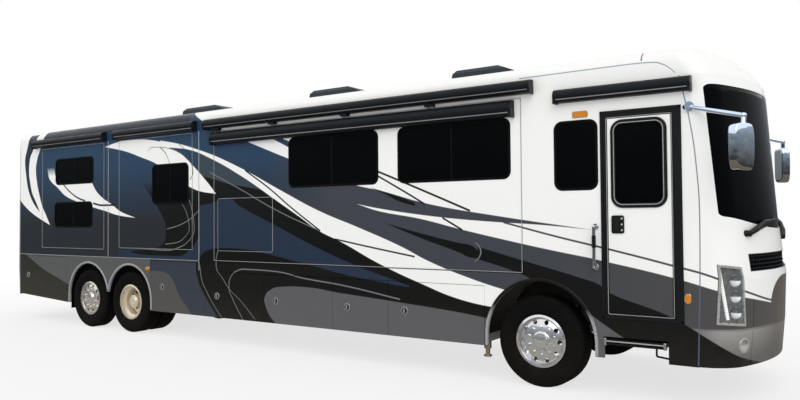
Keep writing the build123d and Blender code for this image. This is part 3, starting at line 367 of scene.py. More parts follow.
# Black that runs under the long white sweep, down to the skirt.
sweep_foot = tape([(-2.2, 3.15), (-1.95, 3.12), (-1.45, 3.05), (-0.97, 2.89), (-0.31, 2.60), (0.52, 2.16),
                   (0.91, 1.95), (1.28, 1.75), (1.63, 1.62), (2.30, 1.33), (2.92, 1.11), (3.49, 0.94),
                   (3.98, 0.87), (4.2, 0.86)])
black_rear = tape([(0.41, -0.80), (0.60, -0.98), (0.79, -1.14), (0.98, -1.26), (1.21, -1.31), (1.30, -1.235),
                   (3.2, -1.235)], UP)
spray(BLACK, under(UP, sweep_foot), under(black_rear, ALONG), under(ALONG, 4.2))
haze_foot = tape([(-1.235, 2.64), (-0.86, 2.55), (-0.52, 2.47), (-0.20, 2.42), (0.16, 2.36)])
band(tone("39454f"), sweep_foot, haze_foot, -1.235, 0.16)
navy_top = tape([(-1.235, 2.15), (-0.9, 2.19), (-0.61, 2.26), (-0.31, 2.13), (0.52, 1.80), (1.27, 1.51),
                 (1.97, 1.28), (2.53, 1.13), (2.75, 1.07)])
navy_foot = tape([(-1.235, 1.32), (-1.14, 1.40), (-1.02, 1.45), (-0.86, 1.48), (-0.53, 1.49), (-0.10, 1.47),
                  (0.32, 1.41), (1.09, 1.28), (1.80, 1.16), (2.46, 1.08), (2.75, 1.05)])
band(NAVY, navy_top, navy_foot, -1.235, 2.75)
stone_top = tape([(0.19, 0.74), (0.23, 0.83), (0.31, 0.89), (0.51, 0.95), (0.90, 0.97), (1.62, 0.92),
                  (2.61, 0.85), (3.49, 0.78), (3.92, 0.73)])
stone_foot = tape([(0.19, 0.74), (0.23, 0.64), (0.29, 0.54), (0.37, 0.46), (0.45, 0.40), (0.6, 0.3)])
band(STONE, stone_top, stone_foot, 0.19, 4.2)
# Long white sweep and the white panel over the second window.
sweep_top = tape([(-3.74, 3.24), (-3.45, 3.29), (-3.16, 3.32), (-2.82, 3.31), (-2.07, 3.23), (-1.21, 3.03),
                  (-0.30, 2.71), (0.52, 2.35), (1.28, 2.03), (1.97, 1.80), (2.62, 1.57), (3.07, 1.38),
                  (3.70, 1.18), (4.18, 1.06)])
band(WHITE, sweep_top, sweep_foot, -2.2, 4.2)
panel_top = tape([(-3.74, 3.24), (-3.45, 3.29), (-3.16, 3.32), (-2.82, 3.31), (-2.47, 3.28), (-2.07, 3.19),
                  (-1.95, 3.11), (-1.69, 3.01), (-1.40, 2.81), (-1.02, 2.50), (-0.84, 2.33)])
panel_foot = tape([(-3.74, 3.24), (-3.16, 3.13), (-2.74, 3.01), (-2.28, 2.86), (-1.82, 2.58), (-1.47, 2.46),
                   (-1.21, 2.38), (-0.84, 2.33)])
band(WHITE, panel_top, panel_foot, -3.74, -0.84)
# Black sweeps in the charcoal, down to the front arch and under the entry door.
tongue = [tape([(2.37, 1.87), (2.92, 1.74), (3.50, 1.62), (3.63, 1.60), (3.75, 1.53)]),
          tape([(2.37, 1.87), (2.92, 1.68), (3.50, 1.50), (3.63, 1.45), (3.75, 1.44)])]
band(BLACK, tongue[0], tongue[1], 2.37, 3.78)
front_black = tape([(3.74, 1.58), (4.29, 1.44), (5.00, 1.26), (5.20, 1.20), (5.29, 1.13), (5.92, 0.91),
                    (6.21, 0.76), (6.63, 0.47), (6.85, 0.30)])
front_foot = tape([(3.74, 1.43), (4.22, 1.30), (4.41, 1.22), (4.6, 1.0), (4.9, 0.2)])
spray(BLACK, under(UP, front_black), under(front_foot, UP), under(3.74, ALONG))
skirt_top = tape([(4.9, 1.02), (5.08, 0.89), (5.21, 0.80), (5.34, 0.72), (5.7, 0.50)])
spray(STONE, under(UP, skirt_top), between_x(4.9, 5.7))
sliver = [tape([(2.14, 2.34), (2.39, 2.27), (2.62, 2.20), (2.85, 2.12)]),
          tape([(2.14, 2.34), (2.39, 2.24), (2.62, 2.14), (2.85, 2.08)])]
band(BLACK, sliver[0], sliver[1], 2.14, 2.85)
# Silver haze on the bumper under the lamps, smoked grille, and a bare dark field in the middle of
# the nose with a white line round its top.
haze = sums(livery, "MULTIPLY", spread(livery, UP, 0.50, 0.80, 0.25, 1.0), spread(livery, ALONG, 6.05, 6.40))
bumper = [under(UP, 0.80), under(front_black, UP), spread(livery, OFF_CENTRE, 0.4, 1.0, 0.35, 1.0)]
spray(tone("9c9a96"), haze, under(6.05, ALONG), *bumper)
spray(tone("101317"), under(OFF_CENTRE, 0.972), under(1.366, UP), under(UP, 1.542), under(6.3, ALONG))
nose_half = tape([(0.80, 0.56), (1.02, 0.56), (1.12, 0.53), (1.20, 0.46), (1.26, 0.34), (1.29, 0.20)], UP)
nose = [under(6.45, ALONG), under(0.80, UP)]
spray(WHITE, under(OFF_CENTRE, sums(livery, "ADD", nose_half, 0.045)), under(UP, 1.33), under(1.09, UP), *nose)
spray(tone("4d4846"), under(OFF_CENTRE, nose_half), under(UP, 1.29), *nose)
# White crescents on the rear corner and the white sweep under the rear window.
crescent_foot = tape([(-6.85, 2.60), (-6.64, 2.39), (-6.42, 2.23), (-6.16, 2.09), (-5.86, 1.97), (-5.51, 1.85)])
crescent_front = tape([(1.85, -5.51), (2.04, -5.65), (2.24, -5.80), (2.46, -5.90), (2.69, -5.98), (2.93, -6.02),
                       (3.12, -5.98), (3.30, -5.88), (3.60, -5.70)], UP)
spray(tone("1d1d1e"), under(UP, crescent_foot), under(ALONG, -6.6))
spray(WHITE, under(crescent_foot, UP), under(ALONG, crescent_front), under(ALONG, -5.5))
cut = [tape([(2.10, -5.87), (2.20, -6.01), (2.38, -6.19), (2.59, -6.31), (2.85, -6.38), (3.11, -6.42),
             (3.34, -6.35), (3.60, -6.24)], UP),
       tape([(2.10, -5.87), (2.30, -6.01), (2.50, -6.16), (2.70, -6.23), (2.90, -6.27), (3.14, -6.24),
             (3.31, -6.13), (3.60, -5.95)], UP)]
spray(tone("24303f"), under(cut[0], ALONG), under(ALONG, cut[1]), under(2.10, UP), under(UP, 3.62))
horn_top = tape([(-5.62, 2.95), (-5.40, 2.95), (-5.30, 2.75), (-4.30, 2.75), (-4.14, 2.61), (-3.98, 2.44),
                 (-3.77, 2.31), (-3.53, 2.21), (-3.30, 2.09), (-2.87, 1.97)])
horn_foot = tape([(-5.62, 2.95), (-5.59, 2.87), (-5.52, 2.72), (-5.24, 2.55), (-4.97, 2.39), (-4.64, 2.29),
                  (-4.10, 2.17), (-3.74, 2.10), (-3.36, 2.02), (-2.87, 1.97)])
band(WHITE, horn_top, horn_foot, -5.62, -2.87, spread(livery, UP, 2.95, 2.78))
# Pinstripes, pulled last.
for colour, width, points in [
    (BLACK, 0.030, [(-5.07, 2.62), (-4.84, 2.47), (-4.58, 2.35), (-4.35, 2.29)]),
    (BLACK, 0.034, [(-4.10, 2.24), (-3.74, 2.20), (-3.44, 2.20)]),
    (PIN_GREY, 0.014, [(-0.98, 2.67), (-0.31, 2.39), (0.52, 2.03), (1.28, 1.76)]),
    (BLACK, 0.026, [(-0.20, 2.67), (0.32, 2.37), (0.71, 2.11), (1.28, 1.76)]),
    (BLACK, 0.022, [(1.54, 1.65), (2.14, 1.55), (2.84, 1.44)]),
    (BLACK, 0.028, [(2.28, 2.54), (2.93, 2.29), (3.64, 2.01)]),
    (BLACK, 0.026, [(2.28, 2.48), (2.78, 2.22), (3.00, 2.10)]),
    (BLACK, 0.026, [(3.25, 1.93), (3.53, 1.78)]),
    (CHARCOAL, 0.022, [(4.08, 1.87), (4.77, 1.70), (5.31, 1.58), (5.94, 1.43), (6.35, 1.32), (6.60, 1.18),
                       (6.80, 1.03)]),
    (PIN_GREY, 0.016, [(-0.51, 1.06), (-0.40, 1.14), (-0.20, 1.18), (0.41, 1.17), (0.99, 1.09), (1.63, 1.03),
                       (2.61, 0.89)]),
    (PIN_GREY, 0.014, [(-2.87, 1.45), (-2.47, 1.44), (-2.07, 1.43), (-1.70, 1.49), (-1.45, 1.61)]),
    (PIN_GREY, 0.012, [(-2.07, 1.53), (-1.74, 1.57), (-1.55, 1.67)]),
    (PIN_GREY, 0.014, [(-2.02, 1.78), (-1.69, 1.85), (-1.45, 1.94), (-1.235, 2.08)]),
    (PIN_GREY, 0.012, [(-2.52, 3.10), (-2.40, 3.15), (-2.20, 3.14), (-1.95, 3.10), (-1.69, 3.01), (-1.50, 2.89)]),
    (BLACK, 0.018, [(-2.20, 3.14), (-2.07, 3.04), (-1.95, 2.86)]),
    (tone("8b97a6"), 0.012, [(4.30, 3.530), (5.55, 3.535), (5.80, 3.525), (5.90, 3.495), (5.97, 3.45),
                             (6.03, 3.39)]),
]:
    pinstripe(colour, points, width)
for colour, width, points in [
    (PIN_GREY, 0.014, [(0.42, -0.25), (0.75, -0.49), (0.87, -0.55), (0.96, -0.55), (1.06, -0.51)]),
    (PIN_GREY, 0.014, [(0.45, 0.0), (0.71, -0.31), (0.87, -0.55), (1.04, -0.71), (1.15, -0.82), (1.28, -0.84),
                       (1.45, -0.80)]),
    (PIN_GREY, 0.014, [(0.41, -0.71), (0.60, -0.89), (0.79, -1.05), (0.98, -1.17), (1.21, -1.22)]),
    (PIN_GREY, 0.014, [(1.61, -1.45), (1.80, -1.35), (2.01, -1.38), (2.25, -1.47)]),
    (PIN_GREY, 0.012, [(1.67, -1.55), (1.80, -1.47), (2.01, -1.52), (2.20, -1.65)]),
    (PIN_GREY, 0.016, [(1.40, 3.70), (1.46, 3.76), (1.52, 3.78), (1.58, 3.76), (1.63, 3.70)]),
    (tone("56667f"), 0.010, [(0.43, 6.205), (1.40, 6.235), (1.93, 6.240), (2.45, 6.215), (2.90, 6.16), (3.15, 6.11),
                             (3.36, 6.065)]),
    (tone("56667f"), 0.014, [(3.555, 5.69), (3.60, 5.69), (3.68, 5.69)]),
    (NAVY, 0.018, [(2.57, -1.45), (2.69, -1.38), (2.79, -1.40), (2.94, -1.45), (3.06, -1.57), (3.16, -1.72)]),
]:
    pinstripe(colour, points, width, UP)
livery.links.new(coat, result["Colour"])
to_grey = livery.nodes.new("ShaderNodeRGBToBW")
livery.links.new(coat, to_grey.inputs[0])
livery.links.new(to_grey.outputs[0], result["Pale"])

shell_paint, tree, shader = finish_coat("shell_paint", Specular_IOR_Level=0.2, Coat_Roughness=0.05, Coat_IOR=1.35)
place = place_of(tree)
painted = use_group(tree, livery, Place=place)
dusted = use_group(tree, dust_group, Place=place, Colour=painted["Colour"], Amount=0.12, Top=0.9)
plug(tree, shader, Base_Color=dusted["Colour"])
plug(tree, shader, Roughness=spread(tree, noise(tree, place, 3.0), 0.2, 0.8, 0.3, 0.42))
plug(tree, shader, Coat_Weight=spread(tree, dusted["Mask"], 0.0, 0.2, 0.35, 0.1))
bump(tree, shader, noise(tree, place, 900.0, 2.0), 0.02, 0.001)
SHELL = ["wall_right", "wall_left", "roof", "front_cap", "rear_cap", "skirts", "entry_door", "engine_door",
         "slide_rear", "slide_mid", "slide_main", "slide_left"]
SHELL += [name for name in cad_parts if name.startswith("bay_door")]
dress(shell_paint, *SHELL)

# Bright trim on the shell: rolled aluminium strips over the panel joints and the floor line, lips
# round the wheel arches, and a fine flange round each slide-out. Pressed on, with sealant behind.
bright_trim, *_ = worn_coat("bright_trim", 24.0, 4.0, ("a3a29e", "c9c8c4"), (0.25, 0.45), Metallic=0.2)


def round_face(bm, hole, radius, y, grow=0.0):
    """A flat face with round corners, standing in X and Z at one Y; hole is x0, x1, z0, z1."""
    x0, x1, z0, z1 = hole
    stand = Matrix.Translation(((x0 + x1) / 2, y, (z0 + z1) / 2)) @ Matrix.Rotation(radians(90), 4, "X")
    size = Matrix.Diagonal(((x1 - x0) / 2 + grow, (z1 - z0) / 2 + grow, 1, 1))
    made = bmesh.ops.create_grid(bm, x_segments=1, y_segments=1, size=1, matrix=stand @ size)["verts"]
    curved = bmesh.ops.bevel(bm, geom=made, offset=radius + grow, segments=8, profile=0.5, affect="VERTICES",
                             material=-1)
    return curved["verts"][0].link_faces[0]


def thicken(bm, faces, step):
    grown = bmesh.ops.extrude_face_region(bm, geom=faces)["geom"]
    bmesh.ops.translate(bm, vec=step, verts=[v for v in grown if isinstance(v, bmesh.types.BMVert)])


def ring(bm, hole, radius, y, grow, width, out):
    """A band round a hole, drawn out along Y."""
    face = round_face(bm, hole, radius, y, grow)
    border = bmesh.ops.inset_region(bm, faces=[face], thickness=width, use_boundary=True,
                                    use_even_offset=True)["faces"]
    bmesh.ops.delete(bm, geom=[face], context="FACES_ONLY")
    thicken(bm, border, (0, out, 0))


# The upright strips between the right-hand rooms have no place on the left, where one room spans them.
SEAM_STRIPS = [((-1,), -3.646, -3.634, 1.29, 3.34), ((-1,), -1.241, -1.229, 1.13, 3.34),
               ((-1, 1), -6.58, -1.23, 1.276, 1.284), ((-1, 1), -6.584, -6.576, 0.52, 3.38)]
bm = bmesh.new()
for sides, x0, x1, z0, z1 in SEAM_STRIPS:
    for side in sides:
        bar(bm, (x0, side * (HALF_W - 0.002), z0), (x1, side * (HALF_W + 0.003), z1))
piece("seam_strips", bm, bright_trim, "coach")

ROOM_FRONTS = {"slide_rear": (-1, -5.782, -3.765, 1.415, 3.320), "slide_mid": (-1, -3.325, -1.390, 1.447, 3.320),
               "slide_main": (-1, -0.887, 4.316, 1.290, 3.300), "slide_left": (1, -4.600, 2.900, 1.290, 3.300)}
for name, (side, *hole) in ROOM_FRONTS.items():
    bm = bmesh.new()
    ring(bm, hole, 0.012, side * (HALF_W - 0.001), -0.001, 0.006, side * 0.004)
    piece(name + "_flange", bm, bright_trim, name)

lip_metal, tree, shader = finish_coat("arch_lip_metal", Metallic=0.15)
place = place_of(tree)
spot = axes(tree, place)
scuffed = noise(tree, place, 30.0, 4.0)
# The front lip turns from black above 0.92 m to the bright metal tone below 0.78 m: a painted reflection on a glossy
# black flange. The rear lips take the bright metal tone all round.
painted_low_reflection = spread(tree, spot["Z"], 0.92, 0.78)
rear_arch = sums(tree, "LESS_THAN", spot["X"], 0.0)
painted_reflection_and_bare_metal = sums(tree, "MAXIMUM", painted_low_reflection, rear_arch)
bare = blend_tones(tree, scuffed, tone("8b8c8e"), tone("bcbdbf"))
plug(tree, shader, Base_Color=blend_tones(tree, painted_reflection_and_bare_metal, tone("0d0e0f"), bare))
plug(tree, shader, Roughness=spread(tree, scuffed, 0.2, 0.8, 0.2, 0.4))
# Each row is the arch's middle, its radius, where the lip starts and ends in degrees, and its feet.
ARCH_LIPS = [(4.510, 0.555, 0.650, 0, 180, (1, -1)), (-3.040, 0.565, 0.595, 0, 169.8, (1,)),
             (-4.240, 0.565, 0.595, 10.2, 180, (-1,))]
LIP_W, LIP_IN, LIP_OUT, LIP_LAP, LIP_FOOT_Z = 0.034, 0.030, 0.010, 0.004, 0.425
ARCH_STEPS = 40


def sweep_arch(bm, arch, r, width, y0, y1):
    """A strip of that width, from one Y to another, swept round a wheel arch at radius r."""
    x, z, _, first, last, _ = arch
    at = Matrix.Translation((x + r, (y0 + y1) / 2, z)) @ Matrix.Diagonal((width / 2, abs(y1 - y0) / 2, 1, 1))
    section = bmesh.ops.create_grid(bm, x_segments=1, y_segments=1, size=1, matrix=at)["verts"]
    bmesh.ops.rotate(bm, cent=(x, 0, z), matrix=Matrix.Rotation(-radians(first), 3, "Y"), verts=section)
    face = section[0].link_faces[0]
    bmesh.ops.spin(bm, geom=[face, *face.edges, *face.verts], cent=(x, 0, z), axis=(0, -1, 0),
                   angle=radians(last - first), steps=ARCH_STEPS, use_duplicate=False)


bm = bmesh.new()
for arch in ARCH_LIPS:
    x, z, r, _, _, feet = arch
    for side in (-1, 1):
        y0, y1 = side * (HALF_W - LIP_IN), side * (HALF_W + LIP_OUT)
        sweep_arch(bm, arch, r + LIP_W / 2 - LIP_LAP, LIP_W, y0, y1)
        for foot in feet:
            a = x + foot * (r - LIP_LAP)
            bar(bm, (a, y0, LIP_FOOT_Z), (a + foot * LIP_W, y1, z))
piece("arch_lips", bm, lip_metal, "coach", 0.004)

# Wheel-well liners and mud flaps: moulded black sheets that close each arch from the lip in to the
# frame, and ribbed rubber behind the tag wheels, hung from the floor.
black_rubber, tree, shader, place = worn_coat("black_rubber", 18.0, 5.0, ("060606", "111212"), (0.45, 0.65),
                                              Specular_IOR_Level=0.08)
bump(tree, shader, noise(tree, place, 500.0), 0.1, 0.001)
LINER_Y, LINER_T = (0.72, 1.262), 0.004
bm = bmesh.new()
for arch in ARCH_LIPS:
    for side in (-1, 1):
        sweep_arch(bm, arch, arch[2] - LINER_T / 2, LINER_T, side * LINER_Y[0], side * LINER_Y[1])
piece("arch_liners", bm, black_rubber, "coach")
FLAP_X, FLAP_Y, FLAP_Z = (-4.874, -4.866), (0.74, 1.24), (0.30, 0.95)
FLAP_RIBS, RIB_GAP, RIB_W, RIB_OUT = 5, 0.1, 0.02, 0.004
bm = bmesh.new()
for side in (-1, 1):
    bar(bm, (FLAP_X[0], side * FLAP_Y[0], FLAP_Z[0]), (FLAP_X[1], side * FLAP_Y[1], FLAP_Z[1]))
    for row in range(FLAP_RIBS):
        y = FLAP_Y[0] + RIB_GAP / 2 + row * RIB_GAP
        bar(bm, (FLAP_X[0] - RIB_OUT, side * y, FLAP_Z[0] + 0.03),
            (FLAP_X[1] + RIB_OUT, side * (y + RIB_W), FLAP_Z[1]))
piece("mud_flaps", bm, black_rubber, "coach", 0.002)

# An access panel in the front of the main room: the same painted sheet, on a hidden frame, in a
# bright bead pressed round its edge.
ACCESS_PANEL, ACCESS_R = (-0.79, 0.37, 1.45, 2.25), 0.03
bm = bmesh.new()
thicken(bm, [round_face(bm, ACCESS_PANEL, ACCESS_R, -HALF_W)], (0, -0.006, 0))
piece("access_panel", bm, shell_paint, "slide_main", 0.003)
bm = bmesh.new()
ring(bm, ACCESS_PANEL, ACCESS_R, -HALF_W + 0.002, 0.005, 0.005, -0.007)
piece("access_panel_bead", bm, bright_trim, "slide_main")

# Privacy glass in the windows, the entry door and the wrap-round screen: toughened dark sheets
# bonded into black rubber. The screen has a printed border.
dark_glass, tree, shader = finish_coat("dark_glass", Roughness=0.03, Specular_IOR_Level=0.05)
place = place_of(tree)
stretched = tree.nodes.new("ShaderNodeMapping")
stretched.inputs["Scale"].default_value = (0.5, 0.5, 1.4)
tree.links.new(place, stretched.inputs[0])
smoke = noise(tree, stretched.outputs[0], 0.9, 2.0)
plug(tree, shader, Base_Color=blend_tones(tree, smoke, tone("020303"), tone("0a0d0f")))
bump(tree, shader, noise(tree, place, 0.8, 1.0), 0.04, 0.02)
dress(dark_glass, "windshield", "fixed_windows", "entry_door_glass", "slide_rear_glass", "slide_mid_glass",
      "slide_main_glass", "slide_left_glass")

WINDOWS = {
    "coach": [(-1, 4.725, 5.205, 2.228, 2.980), (1, 4.750, 5.650, 2.228, 2.980), (1, 3.500, 4.300, 2.388, 3.085)],
    "slide_rear": [(-1, -5.312, -4.096, 2.618, 3.090), (-1, -5.341, -4.126, 1.813, 2.270)],
    "slide_mid": [(-1, -2.400, -1.491, 2.199, 2.845)],
    "slide_main": [(-1, 0.700, 2.272, 2.384, 3.081), (-1, 2.600, 4.172, 2.384, 3.081)],
    "slide_left": [(1, -4.100, -2.800, 2.388, 3.085), (1, -1.500, -0.200, 2.388, 3.085),
                   (1, 1.100, 2.400, 2.388, 3.085)],
}
WINDOW_R = 0.085
SLIDER_FROM, SLIDER_HALF, SLIDER_SHORT = 0.85, 0.011, 0.015
for body, holes in WINDOWS.items():
    bm = bmesh.new()
    for side, *hole in holes:
        ring(bm, hole, WINDOW_R, side * (HALF_W - 0.006), 0.012, 0.030, side * 0.011)
    piece("window_rubber_" + body, bm, black_rubber, body, 0.004)
    bm = bmesh.new()
    for side, x0, x1, z0, z1 in holes:
        if x1 - x0 > SLIDER_FROM:
            middle = (x0 + x1) / 2
            y = side * (HALF_W - 0.005)
            bar(bm, (middle - SLIDER_HALF, y - side * 0.002, z0 + SLIDER_SHORT),
                (middle + SLIDER_HALF, y + side * 0.003, z1 - SLIDER_SHORT))
    if bm.verts:
        piece("window_slider_" + body, bm, black_rubber, body, 0.002)
    else:
        bm.free()

# Entry door: an aluminium leaf in a black frame, with a framed window, a recessed paddle handle,
# a grab rail on the wall beside it, and a folding step of ribbed black treads below.
satin_black, tree, shader, place = worn_coat("satin_black", 14.0, 4.0, ("0f1214", "1b1f22"), (0.3, 0.48),
                                             Specular_IOR_Level=0.2)
bump(tree, shader, noise(tree, place, 350.0), 0.08, 0.001)
dress(satin_black, "entry_door_frame", "wipers", "entry_step")

DOOR_LEAF = (5.314, 5.981, 0.894, 2.981)
DOOR_WINDOW = (5.392, 5.900, 2.055, 2.920)
DOOR_FRAME = (5.240, 6.080, 0.840, 3.060)
bm = bmesh.new()
ring(bm, DOOR_WINDOW, WINDOW_R, -HALF_W + 0.006, 0.038, 0.052, -0.020)
piece("door_window_frame", bm, satin_black, "entry_door", 0.006)
bm = bmesh.new()
ring(bm, DOOR_WINDOW, WINDOW_R, -HALF_W - 0.010, 0.006, 0.008, -0.007)
piece("door_window_bead", bm, bright_trim, "entry_door", 0.002)
bm = bmesh.new()
ring(bm, DOOR_FRAME, 0.012, -HALF_W - 0.002, -0.004, 0.026, -0.012)
ring(bm, DOOR_LEAF, 0.010, -HALF_W - 0.002, 0.022, 0.014, -0.010)
piece("door_frame_ribs", bm, satin_black, "coach", 0.004)
bm = bmesh.new()
ring(bm, DOOR_LEAF, 0.010, -HALF_W - 0.003, 0.008, 0.006, -0.006)
piece("door_frame_bead", bm, bright_trim, "coach", 0.001)

HANDLE, PADDLE = (5.354, 5.489, 1.747, 1.939), (5.372, 5.440, 1.775, 1.912)
KEY_X, KEY_Z, KEY_R = 5.466, (1.782, 1.843, 1.905), 0.011
bm = bmesh.new()
thicken(bm, [round_face(bm, HANDLE, 0.022, -HALF_W + 0.002)], (0, -0.016, 0))
thicken(bm, [round_face(bm, PADDLE, 0.018, -HALF_W - 0.013)], (0, -0.013, 0))
piece("door_handle", bm, satin_black, "entry_door", 0.004)
bm = bmesh.new()
for z in KEY_Z:
    tube(bm, (KEY_X, -HALF_W - 0.010, z), (KEY_X, -HALF_W - 0.018, z), KEY_R)
piece("door_keys", bm, bright_trim, "entry_door", 0.002)


# Chrome: plated tube and castings for the grab rail, the step's ends and the marker lamps' bases,
# buffed bright and screwed to the wall; the rail has a ribbed rubber grip.
chrome, *_ = worn_coat("bright_chrome", 8.0, 4.0, ("cdd4dc", "f0f3f6"), (0.06, 0.14), Metallic=1.0)


def ball(bm, at, r, around=20, down=12):
    bmesh.ops.create_uvsphere(bm, u_segments=around, v_segments=down, radius=r, matrix=Matrix.Translation(at))


RAIL_X, RAIL_Z, RAIL_OUT = 5.180, (1.385, 1.82), 0.07
bm = bmesh.new()
tube(bm, (RAIL_X, -HALF_W - RAIL_OUT, RAIL_Z[0]), (RAIL_X, -HALF_W - RAIL_OUT, RAIL_Z[1]), 0.018)
for z in RAIL_Z:
    tube(bm, (RAIL_X, -HALF_W + 0.002, z), (RAIL_X, -HALF_W - RAIL_OUT, z), 0.014)
    ball(bm, (RAIL_X, -HALF_W - RAIL_OUT, z), 0.019)
    tube(bm, (RAIL_X, -HALF_W + 0.002, z), (RAIL_X, -HALF_W - 0.010, z), 0.034)
piece("grab_rail", bm, chrome, "coach", 0.002)
GRIP_Z, GRIP_ROWS, GRIP_STEP, GRIP_TALL, GRIP_R = 1.595, 6, 0.022, 0.020, (0.022, 0.023)
bm = bmesh.new()
for row in range(GRIP_ROWS):
    z = GRIP_Z + row * GRIP_STEP
    tube(bm, (RAIL_X, -HALF_W - RAIL_OUT, z), (RAIL_X, -HALF_W - RAIL_OUT, z + GRIP_TALL), *GRIP_R)
piece("grab_rail_grip", bm, black_rubber, "coach", 0.002)

TREAD_X, TREAD_Z, TREAD_ROWS, TREAD_STEP, TREAD_W = (5.275, 5.895), (0.6265, 0.631), 7, 0.050, 0.028
bm = bmesh.new()
for row in range(TREAD_ROWS):
    y = -HALF_W - 0.030 + TREAD_STEP * row
    bar(bm, (TREAD_X[0], y, TREAD_Z[0]), (TREAD_X[1], y + TREAD_W, TREAD_Z[1]))
piece("step_tread_ribs", bm, black_rubber, "coach", 0.002)
bm = bmesh.new()
bar(bm, (5.264, -1.3375, 0.600), (5.906, -1.3345, 0.612))
piece("step_nosing", bm, bright_trim, "coach")
bm = bmesh.new()
for x in (5.262, 5.880):
    bar(bm, (x, -1.3385, 0.560), (x + 0.028, -1.300, 0.632))
piece("step_end_castings", bm, chrome, "coach", 0.004)
STOP_BEND, STOP_R = [(5.80, -1.29, 0.57), (5.80, -1.29, 0.485), (5.93, -1.29, 0.470)], 0.010
bm = bmesh.new()
for foot, head in zip(STOP_BEND, STOP_BEND[1:]):
    tube(bm, foot, head, STOP_R)
piece("step_stop", bm, black_rubber, "coach", 0.002)

# Baggage doors: round paddle latches, grey castings with a black dish, one low on each leaf.
# They are screwed through the leaf.
latch_metal, *_ = worn_coat("latch_metal", 60.0, 4.0, ("7d8083", "b3b6b8"), (0.2, 0.4), Metallic=0.4)
LATCHES = {"right_0": (-6.273, 0.874), "right_1": (-2.151, 0.823), "right_2": (-0.820, 0.747),
           "right_3": (0.423, 0.742), "right_4": (1.744, 0.738), "right_5": (2.678, 0.750),
           "left_1": (-0.820, 0.747), "left_2": (0.423, 0.742), "left_3": (1.744, 0.738)}
for name, (x, z) in LATCHES.items():
    side = -1 if name.startswith("right") else 1
    out = lambda depth: side * (HALF_W + depth)
    bm = bmesh.new()
    tube(bm, (x, out(-0.004), z), (x, out(0.007), z), 0.056, 0.052, 40)
    bar(bm, (x - 0.013, out(0.009), z - 0.028), (x + 0.013, out(0.018), z + 0.028))
    piece("latch_" + name, bm, latch_metal, "bay_door_" + name, 0.0015)
    bm = bmesh.new()
    tube(bm, (x, out(0.006), z), (x, out(0.010), z), 0.040, 0.038, 40)
    piece("latch_dish_" + name, bm, satin_black, "bay_door_" + name)

# Awnings: coated fabric rolled in black extrusions with end castings and a bright lead rail, on
# brackets along the roof edge. The topper of the main room rides out with it.


def waves(tree, place, way, scale, distortion=0.0):
    """Bands across one direction."""
    node = tree.nodes.new("ShaderNodeTexWave")
    node.wave_type, node.bands_direction = "BANDS", way
    node.inputs["Scale"].default_value = scale
    node.inputs["Distortion"].default_value = distortion
    tree.links.new(place, node.inputs["Vector"])
    return node.outputs["Fac"]


awning_black, tree, shader = finish_coat("awning_black", Specular_IOR_Level=0.16)
place = place_of(tree)
weave = waves(tree, place, "DIAGONAL", 22.0, 1.5)
faded = noise(tree, place, 3.0, 4.0)
cloth = blend_tones(tree, weave, tone("0b0e11"), tone("1a2026"))
plug(tree, shader, Base_Color=blend_tones(tree, faded, cloth, tone("10151a")))
plug(tree, shader, Roughness=spread(tree, faded, 0.2, 0.8, 0.28, 0.5))
bump(tree, shader, weave, 0.06, 0.002)
dress(awning_black, "awnings", "topper_main")
AWNINGS = {"coach": [(-1.020, 4.476, 3.340, 3.492, -1, 0.130), (4.745, 6.190, 3.190, 3.338, -1, 0.110),
                     (-6.000, -3.690, 3.345, 3.500, -1, 0.120), (-3.380, -1.280, 3.345, 3.500, -1, 0.120),
                     (-4.660, 2.960, 3.345, 3.500, 1, 0.120)],
           "slide_main": [(-0.870, 4.235, 3.092, 3.282, -1, 0.120)]}
for body, rows in AWNINGS.items():
    rails, ends = bmesh.new(), bmesh.new()
    for x0, x1, z0, z1, side, deep in rows:
        rail_z = z0 + 0.2 * (z1 - z0) + 0.006
        y = side * (HALF_W + 0.80 * deep)
        tube(rails, (x0 + 0.031, y, rail_z), (x1 - 0.031, y, rail_z), 0.008, sides=12)
        for x, step in ((x0, 0.004), (x1, -0.004)):
            bar(ends, (x - step, side * HALF_W, z0 - 0.010),
                (x + 6 * step, side * (HALF_W + 0.92 * deep), z0 + 0.08))
    piece("awning_lead_rail_" + body, rails, bright_trim, body)
    piece("awning_end_" + body, ends, satin_black, body, 0.004)

# Roof units: moulded plastic shrouds over the air conditioners, ribbed and vented, bolted through
# the roof.
unit_plastic, tree, shader = finish_coat("unit_plastic", Specular_IOR_Level=0.3)
place = place_of(tree)
fins = waves(tree, place, "X", 7.0)
chalk = noise(tree, place, 20.0, 5.0)
grey = blend_tones(tree, chalk, tone("1c232a"), tone("323c44"))
# The troughs between the ribs are darkened halfway to near black: painted shade in the grooves.
plug(tree, shader, Base_Color=blend_tones(tree, spread(tree, fins, 0.0, 0.25, 0.5, 0.0), grey, tone("080a0c")))
plug(tree, shader, Roughness=spread(tree, chalk, 0.2, 0.8, 0.4, 0.6))
bump(tree, shader, fins, 0.5, 0.01)
dress(unit_plastic, "roof_units")

# Head lamps: a clear cover over a dark reflector with three projectors and a light bar, in a silver
# bezel; a round fog lamp sits in the bumper. Moulded parts snapped into the cap from the front.


def cells(tree, place, scale):
    node = tree.nodes.new("ShaderNodeTexVoronoi")
    node.inputs["Scale"].default_value = scale
    tree.links.new(place, node.inputs["Vector"])
    return node.outputs["Distance"]


def painted_tilt_light(tree, scale, amount, low, high, tones):
    """Painted reflection: two tones by how far a face looks up, with a ripple in the edge between them."""
    coords = tree.nodes.new("ShaderNodeTexCoord")
    ripple = noise(tree, coords.outputs["Object"], scale)
    tilt = sums(tree, "MULTIPLY_ADD", ripple, amount, axes(tree, coords.outputs["Normal"])["Z"])
    return blend_tones(tree, spread(tree, tilt, low, high), tone(tones[0]), tone(tones[1]))


